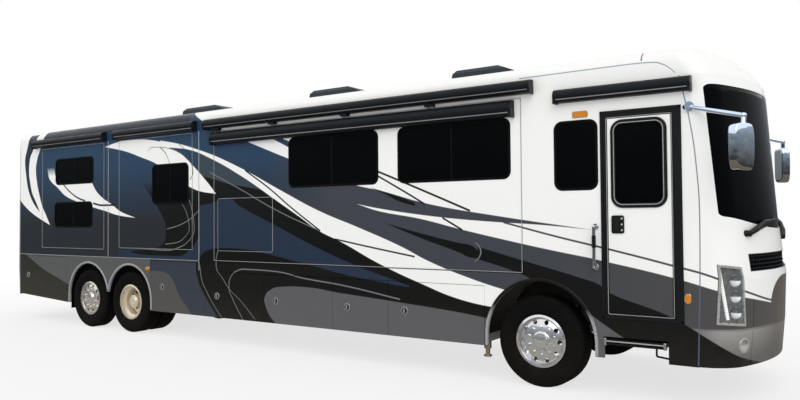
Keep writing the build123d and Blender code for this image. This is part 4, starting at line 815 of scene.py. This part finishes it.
clear_cover, tree, shader = finish_coat("clear_cover", Roughness=0.03, Alpha=0.07, Specular_IOR_Level=0.4)
place = place_of(tree)
plug(tree, shader, Base_Color=blend_tones(tree, noise(tree, place, 6.0), tone("a9b0b4"), tone("ced4d8")))
bezel_silver, *_ = worn_coat("bezel_silver", 16.0, 4.0, ("a5a5a2", "d2d2cf"), (0.22, 0.36), Metallic=0.45)
bowl_metal, tree, shader = finish_coat("lamp_bowl_metal", Metallic=0.3, Roughness=0.3)
place = place_of(tree)
facets = cells(tree, place, 26.0)
plug(tree, shader, Base_Color=blend_tones(tree, facets, tone("3b3d3b"), tone("6e706c")))
bump(tree, shader, facets, 0.3, 0.01)
# Fog lens domes: the grey tone on faces that look up and the bright one on faces that look sideways and down are a
# painted reflection.
bowl_chrome, tree, shader = finish_coat("fog_bowl_chrome", Metallic=0.6, Roughness=0.2)
plug(tree, shader, Base_Color=painted_tilt_light(tree, 22.0, 0.15, 0.45, 0.0, ("77787a", "e3e4e4")))
# Projector lenses: dark above and bright below, a painted reflection.
lens_glass, tree, shader = finish_coat("projector_glass", Roughness=0.06, Specular_IOR_Level=0.5)
plug(tree, shader, Base_Color=painted_tilt_light(tree, 40.0, 0.12, 0.30, 0.10, ("2b2d2c", "f2f7fb")))


def lamp_skin(low, high):
    """The outer faces of the CAD lamps between two heights, copied, as one sheet for each side."""
    bm = bmesh.new()
    bm.from_mesh(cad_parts["headlamps"].data)
    bmesh.ops.remove_doubles(bm, verts=bm.verts, dist=0.0005)
    bm.normal_update()
    spare = [f for f in bm.faces if f.normal.x < 0.2 or not low < f.calc_center_median().z < high]
    bmesh.ops.delete(bm, geom=spare, context="FACES")
    return bm, [[f for f in bm.faces if f.calc_center_median().y * side > 0] for side in (-1, 1)]


def facing(faces):
    return sum((f.normal * f.calc_area() for f in faces), Vector()).normalized()


HEAD_Z, FOG_Z = (0.75, 2.0), (0.4, 0.75)
BEZEL_W, BEZEL_OUT, BEZEL_T = 0.024, 0.005, 0.03
bm, sheets = lamp_skin(*HEAD_Z)
for sheet in sheets:
    aim = facing(sheet)
    border = bmesh.ops.inset_region(bm, faces=sheet, thickness=BEZEL_W, use_boundary=True,
                                    use_even_offset=True)["faces"]
    bmesh.ops.delete(bm, geom=sheet, context="FACES")
    bmesh.ops.translate(bm, vec=aim * BEZEL_OUT, verts=list({v for f in border for v in f.verts}))
    thicken(bm, border, aim * -BEZEL_T)
piece("lamp_bezels", bm, bezel_silver, "coach", 0.004)
bm, sheets = lamp_skin(*HEAD_Z)
for sheet in sheets:
    thicken(bm, sheet, facing(sheet) * -0.004)
covers = piece("lamp_covers", bm, clear_cover, "coach")
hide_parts("headlamps")
LAMP_DEEP = 0.07
bm, sheets = lamp_skin(*HEAD_Z)
for sheet in sheets:
    thicken(bm, sheet, (-LAMP_DEEP, 0, 0))
    bmesh.ops.delete(bm, geom=sheet, context="FACES_ONLY")
bmesh.ops.solidify(bm, geom=bm.faces[:], thickness=0.002)
piece("lamp_bowls", bm, bowl_metal, "coach")
PROJECTORS = [(6.553, 1.143, 1.274), (6.553, 1.135, 1.116), (6.552, 1.127, 0.954)]
shells, balls, bars = bmesh.new(), bmesh.new(), bmesh.new()
for side in (-1, 1):
    aim = Vector((0.75, side * 0.66, 0)).normalized()
    for x, y, z in PROJECTORS:
        middle = Vector((x, side * y, z)) - aim * 0.042
        tube(shells, middle - aim * 0.05, middle - aim * 0.005, 0.050, 0.064, 32)
        ball(balls, middle, 0.055, 28, 16)
    tube(bars, (6.398, side * 1.224, 1.385), (6.463, side * 1.182, 0.895), 0.017)
piece("lamp_projector_shells", shells, bezel_silver, "coach", 0.002)
piece("lamp_projectors", balls, lens_glass, "coach")
light_bar, tree, shader = finish_coat("light_bar_white", Roughness=0.3, Emission_Strength=0.35)
place = place_of(tree)
diodes = waves(tree, place, "Z", 12.0)
glow_tone = blend_tones(tree, diodes, tone("dfe3e4"), tone("fbfcfc"))
plug(tree, shader, Base_Color=glow_tone)
plug(tree, shader, Emission_Color=glow_tone)
piece("lamp_light_bars", bars, light_bar, "coach")
FOG_R, FOG_DOME_R, FOG_DOME_OUT = 0.082, 0.100, 0.026
bm, sheets = lamp_skin(*FOG_Z)
fog_rings, fog_domes = bmesh.new(), bmesh.new()
for sheet in sheets:
    aim = facing(sheet)
    at = sum((f.calc_center_median() * f.calc_area() for f in sheet), Vector()) / sum(f.calc_area() for f in sheet)
    tube(fog_rings, at - aim * 0.03, at + aim * 0.006, FOG_R, FOG_R - 0.005, 40)
    ball(fog_domes, at + aim * (FOG_DOME_OUT - FOG_DOME_R), FOG_DOME_R, 32, 20)
bm.free()
piece("fog_rings", fog_rings, bezel_silver, "coach", 0.004)
piece("fog_lenses", fog_domes, bowl_chrome, "coach")

# A black plate behind the grille slats and moulded ribs between them keep the view out of the nose; the plate is
# painted shade, a dark sheet in place of the shade inside the nose. The plate is folded, and the ribs are set, to
# its bow.
BOW_AT, BOW_R, BOW_SPAN = 4.245, 2.600, 23.0
PLATE_IN, PLATE_Z, PLATE_HALF = 0.104, 1.455, (0.004, 0.105)
bm = bmesh.new()
upright = Matrix.Translation((BOW_AT + BOW_R - PLATE_IN, 0, PLATE_Z)) @ Matrix.Rotation(radians(90), 4, "X")
bmesh.ops.create_grid(bm, x_segments=1, y_segments=1, size=1, matrix=upright @ Matrix.Diagonal((*PLATE_HALF, 1, 1)))
bmesh.ops.rotate(bm, cent=(BOW_AT, 0, 0), matrix=Matrix.Rotation(-radians(BOW_SPAN), 3, "Z"), verts=bm.verts)
bmesh.ops.spin(bm, geom=bm.verts[:] + bm.edges[:] + bm.faces[:], cent=(BOW_AT, 0, 0), axis=(0, 0, 1),
               angle=radians(2 * BOW_SPAN), steps=24, use_duplicate=False)
piece("grille_shade_plate", bm, satin_black, "coach")
RIB_BOW_AT, RIB_IN, RIB_TURN, RIB_STEP = 4.2256, 0.029, 21.0, 1.4
RIB_SIZE, RIB_Z = (0.022, 0.004, 0.170), 1.454
bm = bmesh.new()
for row in range(round(2 * RIB_TURN / RIB_STEP) + 1):
    turn = Matrix.Rotation(radians(row * RIB_STEP - RIB_TURN), 4, "Z")
    bmesh.ops.create_cube(bm, size=1, matrix=Matrix.Translation((RIB_BOW_AT, 0, RIB_Z)) @ turn
                          @ Matrix.Translation((BOW_R - RIB_IN, 0, 0)) @ Matrix.Diagonal((*RIB_SIZE, 1)))
piece("grille_ribs", bm, satin_black, "coach")

# Marker lamps: amber mouldings in chrome bases on the skirt, by the arch and over the fixed window;
# red tail lamps of moulded ribs in the rear cap.


def ribbed_lens(name, way, scale, tones, depth, **plain):
    """A moulded lens with prism ribs one way."""
    mat, tree, shader = finish_coat(name, **plain)
    prisms = waves(tree, place_of(tree), way, scale)
    plug(tree, shader, Base_Color=blend_tones(tree, prisms, tone(tones[0]), tone(tones[1])))
    bump(tree, shader, prisms, 0.3, depth)
    return mat


amber = ribbed_lens("amber_lens", "X", 30.0, ("b55a05", "f0a126"), 0.003, Roughness=0.15, Specular_IOR_Level=0.5)
MARKERS = [(6.088, 6.144, 1.048, 1.138, 0.026), (-2.580, -2.484, 1.090, 1.140, 0.022),
           (4.940, 5.106, 3.020, 3.080, 0.012)]
bm, bases = bmesh.new(), bmesh.new()
for side in (-1, 1):
    for x0, x1, z0, z1, r in MARKERS:
        thicken(bm, [round_face(bm, (x0, x1, z0, z1), r, side * (HALF_W - 0.001))], (0, side * 0.016, 0))
        ring(bases, (x0, x1, z0, z1), r, side * (HALF_W - 0.001), 0.007, 0.009, side * 0.008)
piece("marker_lenses", bm, amber, "coach", 0.005)
piece("marker_bases", bases, chrome, "coach", 0.002)
tail_lens = ribbed_lens("tail_lens", "Z", 16.0, ("5d0806", "b01814"), 0.004, Roughness=0.12)
dress(tail_lens, "tail_lamps")

# A woven wire screen closes the louvres of the engine door. It is cut from black mesh and clipped
# inside the leaf, and rides up with it.
wire_black, tree, shader = finish_coat("wire_black", Specular_IOR_Level=0.1)
place = place_of(tree)
wires = tree.nodes.new("ShaderNodeTexChecker")
wires.inputs["Scale"].default_value = 160.0
tree.links.new(place, wires.inputs["Vector"])
plug(tree, shader, Base_Color=blend_tones(tree, wires.outputs["Fac"], tone("050505"), tone("171818")))
plug(tree, shader, Roughness=spread(tree, wires.outputs["Fac"], 0.0, 1.0, 0.5, 0.7))
SLOT_HALF, SCREEN_T = 0.44, 0.002
bm = bmesh.new()
bm.from_mesh(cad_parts["engine_door"].data)
bmesh.ops.remove_doubles(bm, verts=bm.verts, dist=0.0002)
bm.normal_update()
bmesh.ops.delete(bm, geom=[f for f in bm.faces if f.normal.x <= 0.8], context="FACES")
low, high = (pick(v.co.z for v in bm.verts) for pick in (min, max))
slots = [e for e in bm.edges if e.is_boundary
         and all(abs(v.co.y) < SLOT_HALF and low + 0.06 < v.co.z < high - 0.06 for v in e.verts)]
screens = bmesh.ops.holes_fill(bm, edges=slots, sides=0)["faces"]
bmesh.ops.delete(bm, geom=[f for f in bm.faces if f not in set(screens)], context="FACES")
thicken(bm, bm.faces[:], (SCREEN_T, 0, 0))
piece("louvre_screens", bm, wire_black, "engine_door")

# Mirrors: chromed shells drawn to a soft taper, on bent tubular arms from the corner posts, with
# the glass let into the side that faces back.
mirror_chrome, tree, shader = finish_coat("mirror_chrome", Metallic=1.0)
place = place_of(tree)
haze = noise(tree, place, 7.0, 3.0)
# The chrome is lighter and bluer higher up and greyer lower down, by height: a painted reflection of sky and ground.
painted_sky_reflection = spread(tree, sums(tree, "MULTIPLY_ADD", haze, 0.12, axes(tree, place)["Z"]), 2.45, 2.80)
plug(tree, shader, Base_Color=blend_tones(tree, painted_sky_reflection, tone("a9a8a4"), tone("dcecff")))
plug(tree, shader, Roughness=spread(tree, haze, 0.2, 0.8, 0.03, 0.09))
bump(tree, shader, noise(tree, place, 9.0, 1.0), 0.25, 0.02)
MIRROR_AT, MIRROR_SIZE, MIRROR_TURN, ARM_R = (6.680, 1.550, 2.570), (0.115, 0.272, 0.448), 28, 0.024
ARM_BEND = [(6.150, 1.285, 3.030), (6.690, 1.500, 2.870), (6.690, 1.510, 2.775)]
shells, arms, panes = bmesh.new(), bmesh.new(), bmesh.new()
for side in (-1, 1):
    turn = Matrix.Translation((MIRROR_AT[0], side * MIRROR_AT[1], MIRROR_AT[2])) @ Matrix.Rotation(
        side * radians(MIRROR_TURN), 4, "Z")
    head = bmesh.new()
    bmesh.ops.create_cube(head, size=1)
    bmesh.ops.subdivide_edges(head, edges=head.edges[:], cuts=7, use_grid_fill=True)
    for v in head.verts:
        a, b, c = (2 * t for t in v.co)
        front = 0.5 * (1 + a)
        crown = 1 - front * (0.30 * b * b + 0.16 * c ** 4)
        taper = 1 - 0.10 * (0.5 - 0.5 * c)
        corner = 1 - 0.12 * (b * c) ** 4
        v.co = Vector((a * crown * MIRROR_SIZE[0] / 2, b * taper * corner * MIRROR_SIZE[1] / 2,
                       c * corner * MIRROR_SIZE[2] / 2))
    bmesh.ops.smooth_vert(head, verts=head.verts, factor=0.5, use_axis_x=True, use_axis_y=True, use_axis_z=True)
    bmesh.ops.transform(head, matrix=turn, verts=head.verts)
    scratch = bpy.data.meshes.new("mirror_head")
    head.to_mesh(scratch)
    head.free()
    shells.from_mesh(scratch)
    bpy.data.meshes.remove(scratch)
    bend = [Vector((x, side * y, z)) for x, y, z in ARM_BEND]
    for start, end in zip(bend, bend[1:]):
        tube(arms, start, end, ARM_R)
        ball(arms, end, ARM_R * 1.25, 24, 16)
    tube(arms, bend[0] - Vector((0.02, side * 0.02, 0)), bend[0] + Vector((0.015, side * 0.03, 0)), 0.05)
    before = set(panes.verts)
    thicken(panes, [round_face(panes, (-0.105, 0.105, -0.185, 0.185), 0.045, 0.0)], (0, 0.004, 0))
    fresh = [v for v in panes.verts if v not in before]
    seat = turn @ Matrix.Translation((-0.056, 0, 0)) @ Matrix.Rotation(radians(90), 4, "Z")
    bmesh.ops.transform(panes, matrix=seat, verts=fresh)
heads = piece("mirror_shells", shells, mirror_chrome, "coach")
smooth = heads.modifiers.new("round", "SUBSURF")
smooth.levels = smooth.render_levels = 2
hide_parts("mirrors")
piece("mirror_arms", arms, mirror_chrome, "coach")
mirror_glass, tree, shader = finish_coat("mirror_glass", Metallic=1.0, Roughness=0.02)
place = place_of(tree)
plug(tree, shader, Base_Color=blend_tones(tree, noise(tree, place, 4.0), tone("b9c0c6"), tone("d5dbe0")))
piece("mirror_panes", panes, mirror_glass, "coach")

# Wipers: cast arms, painted black, with a knuckle at the pivot, over the CAD blades that lie along
# the screen.
WIPER_ARMS = [[(6.640, -0.955, 1.745), (6.690, -0.830, 1.790), (6.738, -0.640, 1.862), (6.800, -0.300, 1.884)],
              [(6.805, 0.250, 1.690), (6.790, 0.380, 1.755), (6.750, 0.560, 1.838), (6.668, 0.800, 1.906)]]
WIPER_R = [0.027, 0.030, 0.020, 0.011]
bm = bmesh.new()
for path in WIPER_ARMS:
    tube(bm, Vector(path[0]) - Vector((0.05, 0, 0)), Vector(path[0]) + Vector((0.02, 0, 0)), 0.036, 0.030)
    for start, end, r, r_end in zip(path, path[1:], WIPER_R, WIPER_R[1:]):
        tube(bm, start, end, r, r_end)
        ball(bm, end, r_end)
piece("wiper_arms", bm, satin_black, "coach")

# Tyres and rims: radial tyres with ribbed side walls on polished ten-stud alloy wheels; the drive
# pair is deeply dished. Turned and buffed, with road dust in the grooves.
polar, given, result = new_group("wheel_polar", [("Place", "Vector"), ("Axle", "Float")],
                                 [("Radius", "Float"), ("Turn", "Float")])
AXLE_Z = 0.522
spot = axes(polar, given["Place"])
off_x = sums(polar, "SUBTRACT", spot["X"], given["Axle"])
off_z = sums(polar, "SUBTRACT", spot["Z"], AXLE_Z)
square = sums(polar, "ADD", sums(polar, "MULTIPLY", off_x, off_x), sums(polar, "MULTIPLY", off_z, off_z))
polar.links.new(sums(polar, "SQRT", square), result["Radius"])
polar.links.new(sums(polar, "ARCTAN2", off_z, off_x), result["Turn"])
AXLES = {"front": (4.510, 0.82, "d3d6da", "f6f7f8"), "drive": (-3.040, 0.30, "dccfb4", "f0e6d0"),
         "tag": (-4.240, 0.75, "d3d1cb", "f2f0ea")}
for axle, (axle_x, metal, low_tone, high_tone) in AXLES.items():
    rubber, tree, shader = finish_coat("tyre_rubber_" + axle, Specular_IOR_Level=0.1)
    place = place_of(tree)
    round_it = use_group(tree, polar, Place=place, Axle=axle_x)
    ribs = sums(tree, "SINE", sums(tree, "MULTIPLY", round_it["Radius"], 420.0))
    wall = sums(tree, "MULTIPLY", spread(tree, round_it["Radius"], 0.495, 0.47), ribs)
    blocks = sums(tree, "SINE", sums(tree, "MULTIPLY", round_it["Turn"], 74.0))
    lugs = sums(tree, "MULTIPLY", spread(tree, round_it["Radius"], 0.485, 0.505), spread(tree, blocks, 0.55, 0.8))
    grime = noise(tree, place, 12.0, 5.0)
    dusted = use_group(tree, dust_group, Place=place, Colour=tone("080808"), Amount=0.035, Top=1.0)
    plug(tree, shader, Base_Color=blend_tones(tree, lugs, dusted["Colour"], tone("030303")))
    plug(tree, shader, Roughness=spread(tree, grime, 0.2, 0.8, 0.65, 0.85))
    bump(tree, shader, sums(tree, "SUBTRACT", sums(tree, "MULTIPLY", wall, 0.25), lugs), 0.7, 0.006)
    alloy, tree, shader = finish_coat("polished_alloy_" + axle, Metallic=metal)
    place = place_of(tree)
    round_it = use_group(tree, polar, Place=place, Axle=axle_x)
    turned = tree.nodes.new("ShaderNodeCombineXYZ")
    tree.links.new(sums(tree, "MULTIPLY", round_it["Radius"], 160.0), turned.inputs[0])
    tree.links.new(round_it["Turn"], turned.inputs[1])
    grain = noise(tree, turned.outputs[0], 1.2, 2.0)
    buffed = blend_tones(tree, grain, tone(low_tone), tone(high_tone))
    dusted = use_group(tree, dust_group, Place=place, Colour=buffed, Amount=0.10, Top=0.9)
    plug(tree, shader, Base_Color=dusted["Colour"])
    plug(tree, shader, Roughness=spread(tree, grain, 0.2, 0.8, 0.07, 0.16))
    crown = sums(tree, "MULTIPLY", sums(tree, "MULTIPLY", round_it["Radius"], round_it["Radius"]), -0.7)
    bump(tree, shader, crown, 1.0, 1.0)
    for hand in ("right", "left"):
        dress(rubber, f"tyre_{axle}_{hand}")
        dress(alloy, f"rim_{axle}_{hand}")

# Cab: two swivel armchairs of stitched hide over foam on steel pedestals, and a moulded dash
# with its steering wheel. They stand on the floor behind the dark glass.
hide, tree, shader, place = worn_coat("seat_hide", 7.0, 5.0, ("7d6a55", "a08b73"), (0.4, 0.6),
                                      Specular_IOR_Level=0.35)
bump(tree, shader, cells(tree, place, 260.0), 0.25, 0.002)


def pad(name, middle, size, lean):
    """A crowned cushion: a soft-edged block whose faces swell and whose sides pull in."""
    bm = bmesh.new()
    bmesh.ops.create_cube(bm, size=1)
    bmesh.ops.subdivide_edges(bm, edges=bm.edges[:], cuts=9, use_grid_fill=True)
    for v in bm.verts:
        a, b, c = (2 * t for t in v.co)
        swell = [(1 - p * p) * (1 - q * q) for p, q in ((b, c), (a, c), (a, b))]
        round_off = 1 - 0.10 * (abs(a * b) ** 3 + abs(b * c) ** 3 + abs(a * c) ** 3) / 3
        v.co = Vector([t * s * 0.5 * (0.90 + 0.10 * w) * round_off for t, s, w in zip((a, b, c), size, swell)])
    bmesh.ops.smooth_vert(bm, verts=bm.verts, factor=0.4, use_axis_x=True, use_axis_y=True, use_axis_z=True)
    turn = Matrix.Translation(middle) @ Matrix.Rotation(radians(lean), 4, "Y")
    bmesh.ops.transform(bm, matrix=turn, verts=bm.verts)
    made = piece(name, bm, hide, "coach")
    smooth = made.modifiers.new("round", "SUBSURF")
    smooth.levels = smooth.render_levels = 1


SEATS = {"right": (4.700, -0.650), "left": (5.250, 0.650)}
SEAT_Z = 1.560
pedestals = bmesh.new()
for hand, (x, y) in SEATS.items():
    pad(f"seat_{hand}_cushion", (x + 0.27, y, SEAT_Z + 0.075), (0.56, 0.57, 0.17), 0)
    pad(f"seat_{hand}_back", (x - 0.055, y, SEAT_Z + 0.47), (0.15, 0.53, 0.74), -8)
    pad(f"seat_{hand}_head", (x - 0.115, y, SEAT_Z + 0.80), (0.14, 0.34, 0.18), -8)
    for side in (-1, 1):
        pad(f"seat_{hand}_arm_{'in' if side * y < 0 else 'out'}", (x + 0.19, y + side * 0.315, SEAT_Z + 0.235),
            (0.36, 0.075, 0.08), 0)
        bar(pedestals, (x - 0.02, y + side * 0.25, SEAT_Z + 0.205), (x + 0.06, y + side * 0.335, SEAT_Z + 0.25))
    tube(pedestals, (x + 0.25, y, 1.28), (x + 0.25, y, 1.31), 0.19)
    tube(pedestals, (x + 0.25, y, 1.30), (x + 0.25, y, SEAT_Z), 0.09, 0.13)
pedestal = piece("seat_pedestals", pedestals, chassis_black, "coach", 0.004)
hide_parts("cab_seats")
dash_skin, tree, shader = finish_coat("dash_skin", Specular_IOR_Level=0.3, Roughness=0.6)
place = place_of(tree)
plug(tree, shader, Base_Color=blend_tones(tree, noise(tree, place, 5.0), tone("1b1a19"), tone("2b2927")))
bump(tree, shader, cells(tree, place, 320.0), 0.2, 0.002)
dress(dash_skin, "dashboard")

# Studio: a pale floor that fades into a white background, a soft sky and one broad lamp.
# The camera stands low off the right front corner.
FLOOR_HALF = 60


def bare_coat(name):
    """A material with an empty tree but for its output."""
    mat = bpy.data.materials.new(name)
    mat.use_nodes = True
    mat.node_tree.nodes.clear()
    return mat, mat.node_tree, mat.node_tree.nodes.new("ShaderNodeOutputMaterial")


def put_in_studio(name, bm, mat):
    """A thing of the studio, which is no part of the coach."""
    mesh = bpy.data.meshes.new(name)
    bm.to_mesh(mesh)
    bm.free()
    mesh.materials.append(mat)
    made = bpy.data.objects.new(name, mesh)
    bpy.context.scene.collection.objects.link(made)
    return made


def plainly_seen(tree):
    """1 for what the camera sees, straight or by reflection and through glass; 0 for light that fills."""
    path = tree.nodes.new("ShaderNodeLightPath").outputs
    return sums(tree, "MAXIMUM", path["Is Camera Ray"],
                sums(tree, "MAXIMUM", path["Is Glossy Ray"], path["Is Transmission Ray"]))


floor_mat, tree, out = bare_coat("studio_floor")
matte = tree.nodes.new("ShaderNodeBsdfDiffuse")
matte.inputs["Color"].default_value = (0.86, 0.86, 0.86, 1)
glow = tree.nodes.new("ShaderNodeEmission")
length = tree.nodes.new("ShaderNodeVectorMath")
length.operation = "LENGTH"
tree.links.new(place_of(tree), length.inputs[0])
away = spread(tree, length.outputs["Value"], 7.0, 16.0, 0.72, 1.0)
mix = tree.nodes.new("ShaderNodeMixShader")
tree.links.new(sums(tree, "MULTIPLY", plainly_seen(tree), away), mix.inputs[0])
tree.links.new(matte.outputs[0], mix.inputs[1])
tree.links.new(glow.outputs[0], mix.inputs[2])
tree.links.new(mix.outputs[0], out.inputs["Surface"])
bm = bmesh.new()
bmesh.ops.create_grid(bm, x_segments=1, y_segments=1, size=FLOOR_HALF)
floor = put_in_studio("studio_floor", bm, floor_mat)
floor.visible_glossy = False

# Dark flags, a disc under the floor and a wall far round it, are seen in reflections alone and give
# the paint, glass and chrome their depth.
FLAG_R, FLAG_Z, FLAG_TOP = 30.0, -0.5, 9.0
flag_mat, tree, out = bare_coat("studio_flag")
glow = tree.nodes.new("ShaderNodeEmission")
height = axes(tree, place_of(tree))["Z"]
ground = sums(tree, "LESS_THAN", height, FLAG_Z + 0.01)
tree.links.new(blend_tones(tree, ground, tone("e6edf5"), tone("f6ebdc")), glow.inputs["Color"])
wall_light = spread(tree, height, 0.5, FLAG_TOP, 0.08, 0.50)
tree.links.new(sums(tree, "MULTIPLY_ADD", ground, 0.24, wall_light), glow.inputs["Strength"])
tree.links.new(glow.outputs[0], out.inputs["Surface"])
bm = bmesh.new()
bmesh.ops.create_cone(bm, cap_ends=False, segments=48, radius1=FLAG_R, radius2=FLAG_R, depth=FLAG_TOP - FLAG_Z,
                      matrix=Matrix.Translation((0, 0, (FLAG_TOP + FLAG_Z) / 2)))
bmesh.ops.create_circle(bm, cap_ends=True, segments=48, radius=FLAG_R, matrix=Matrix.Translation((0, 0, FLAG_Z)))
flag = put_in_studio("studio_flag", bm, flag_mat)
flag.visible_camera = flag.visible_diffuse = flag.visible_shadow = False
flag.visible_transmission = flag.visible_volume_scatter = False

world = bpy.data.worlds.new("studio")
bpy.context.scene.world = world
world.use_nodes = True
tree = world.node_tree
back = tree.nodes["Background"]
tree.links.new(spread(tree, plainly_seen(tree), 0.0, 1.0, 0.76, 1.0), back.inputs["Strength"])
back.inputs["Color"].default_value = (1, 1, 1, 1)

lamp = bpy.data.lights.new("soft_key", "SUN")
lamp.energy = 0.95
lamp.angle = radians(50)
key = bpy.data.objects.new("soft_key", lamp)
key.rotation_euler = Vector((-0.45, 0.75, -0.75)).to_track_quat("-Z", "Y").to_euler()
bpy.context.scene.collection.objects.link(key)

CAMERA_AT = Vector((7.80825, -8.90701, 1.9311))
YAW, PITCH, ROLL = 0.59807, 0.02498, -0.00817
FOCAL_PX, IMAGE_W = 718.162, 800
ahead = Vector((-sin(YAW) * cos(PITCH), cos(YAW) * cos(PITCH), sin(PITCH)))
right = ahead.cross(Vector((0, 0, 1))).normalized()
upward = right.cross(ahead)
right, upward = cos(ROLL) * right + sin(ROLL) * upward, cos(ROLL) * upward - sin(ROLL) * right
camera = bpy.data.cameras.new("photo_camera")
camera.sensor_fit = "HORIZONTAL"
camera.sensor_width = 36
camera.lens = 36 * FOCAL_PX / IMAGE_W
camera.clip_end = 200
viewer = bpy.data.objects.new("photo_camera", camera)
viewer.matrix_world = Matrix((
    (right.x, upward.x, -ahead.x, CAMERA_AT.x), (right.y, upward.y, -ahead.y, CAMERA_AT.y),
    (right.z, upward.z, -ahead.z, CAMERA_AT.z), (0, 0, 0, 1)))
bpy.context.scene.collection.objects.link(viewer)
bpy.context.scene.camera = viewer
bpy.context.scene.view_settings.view_transform = "Standard"
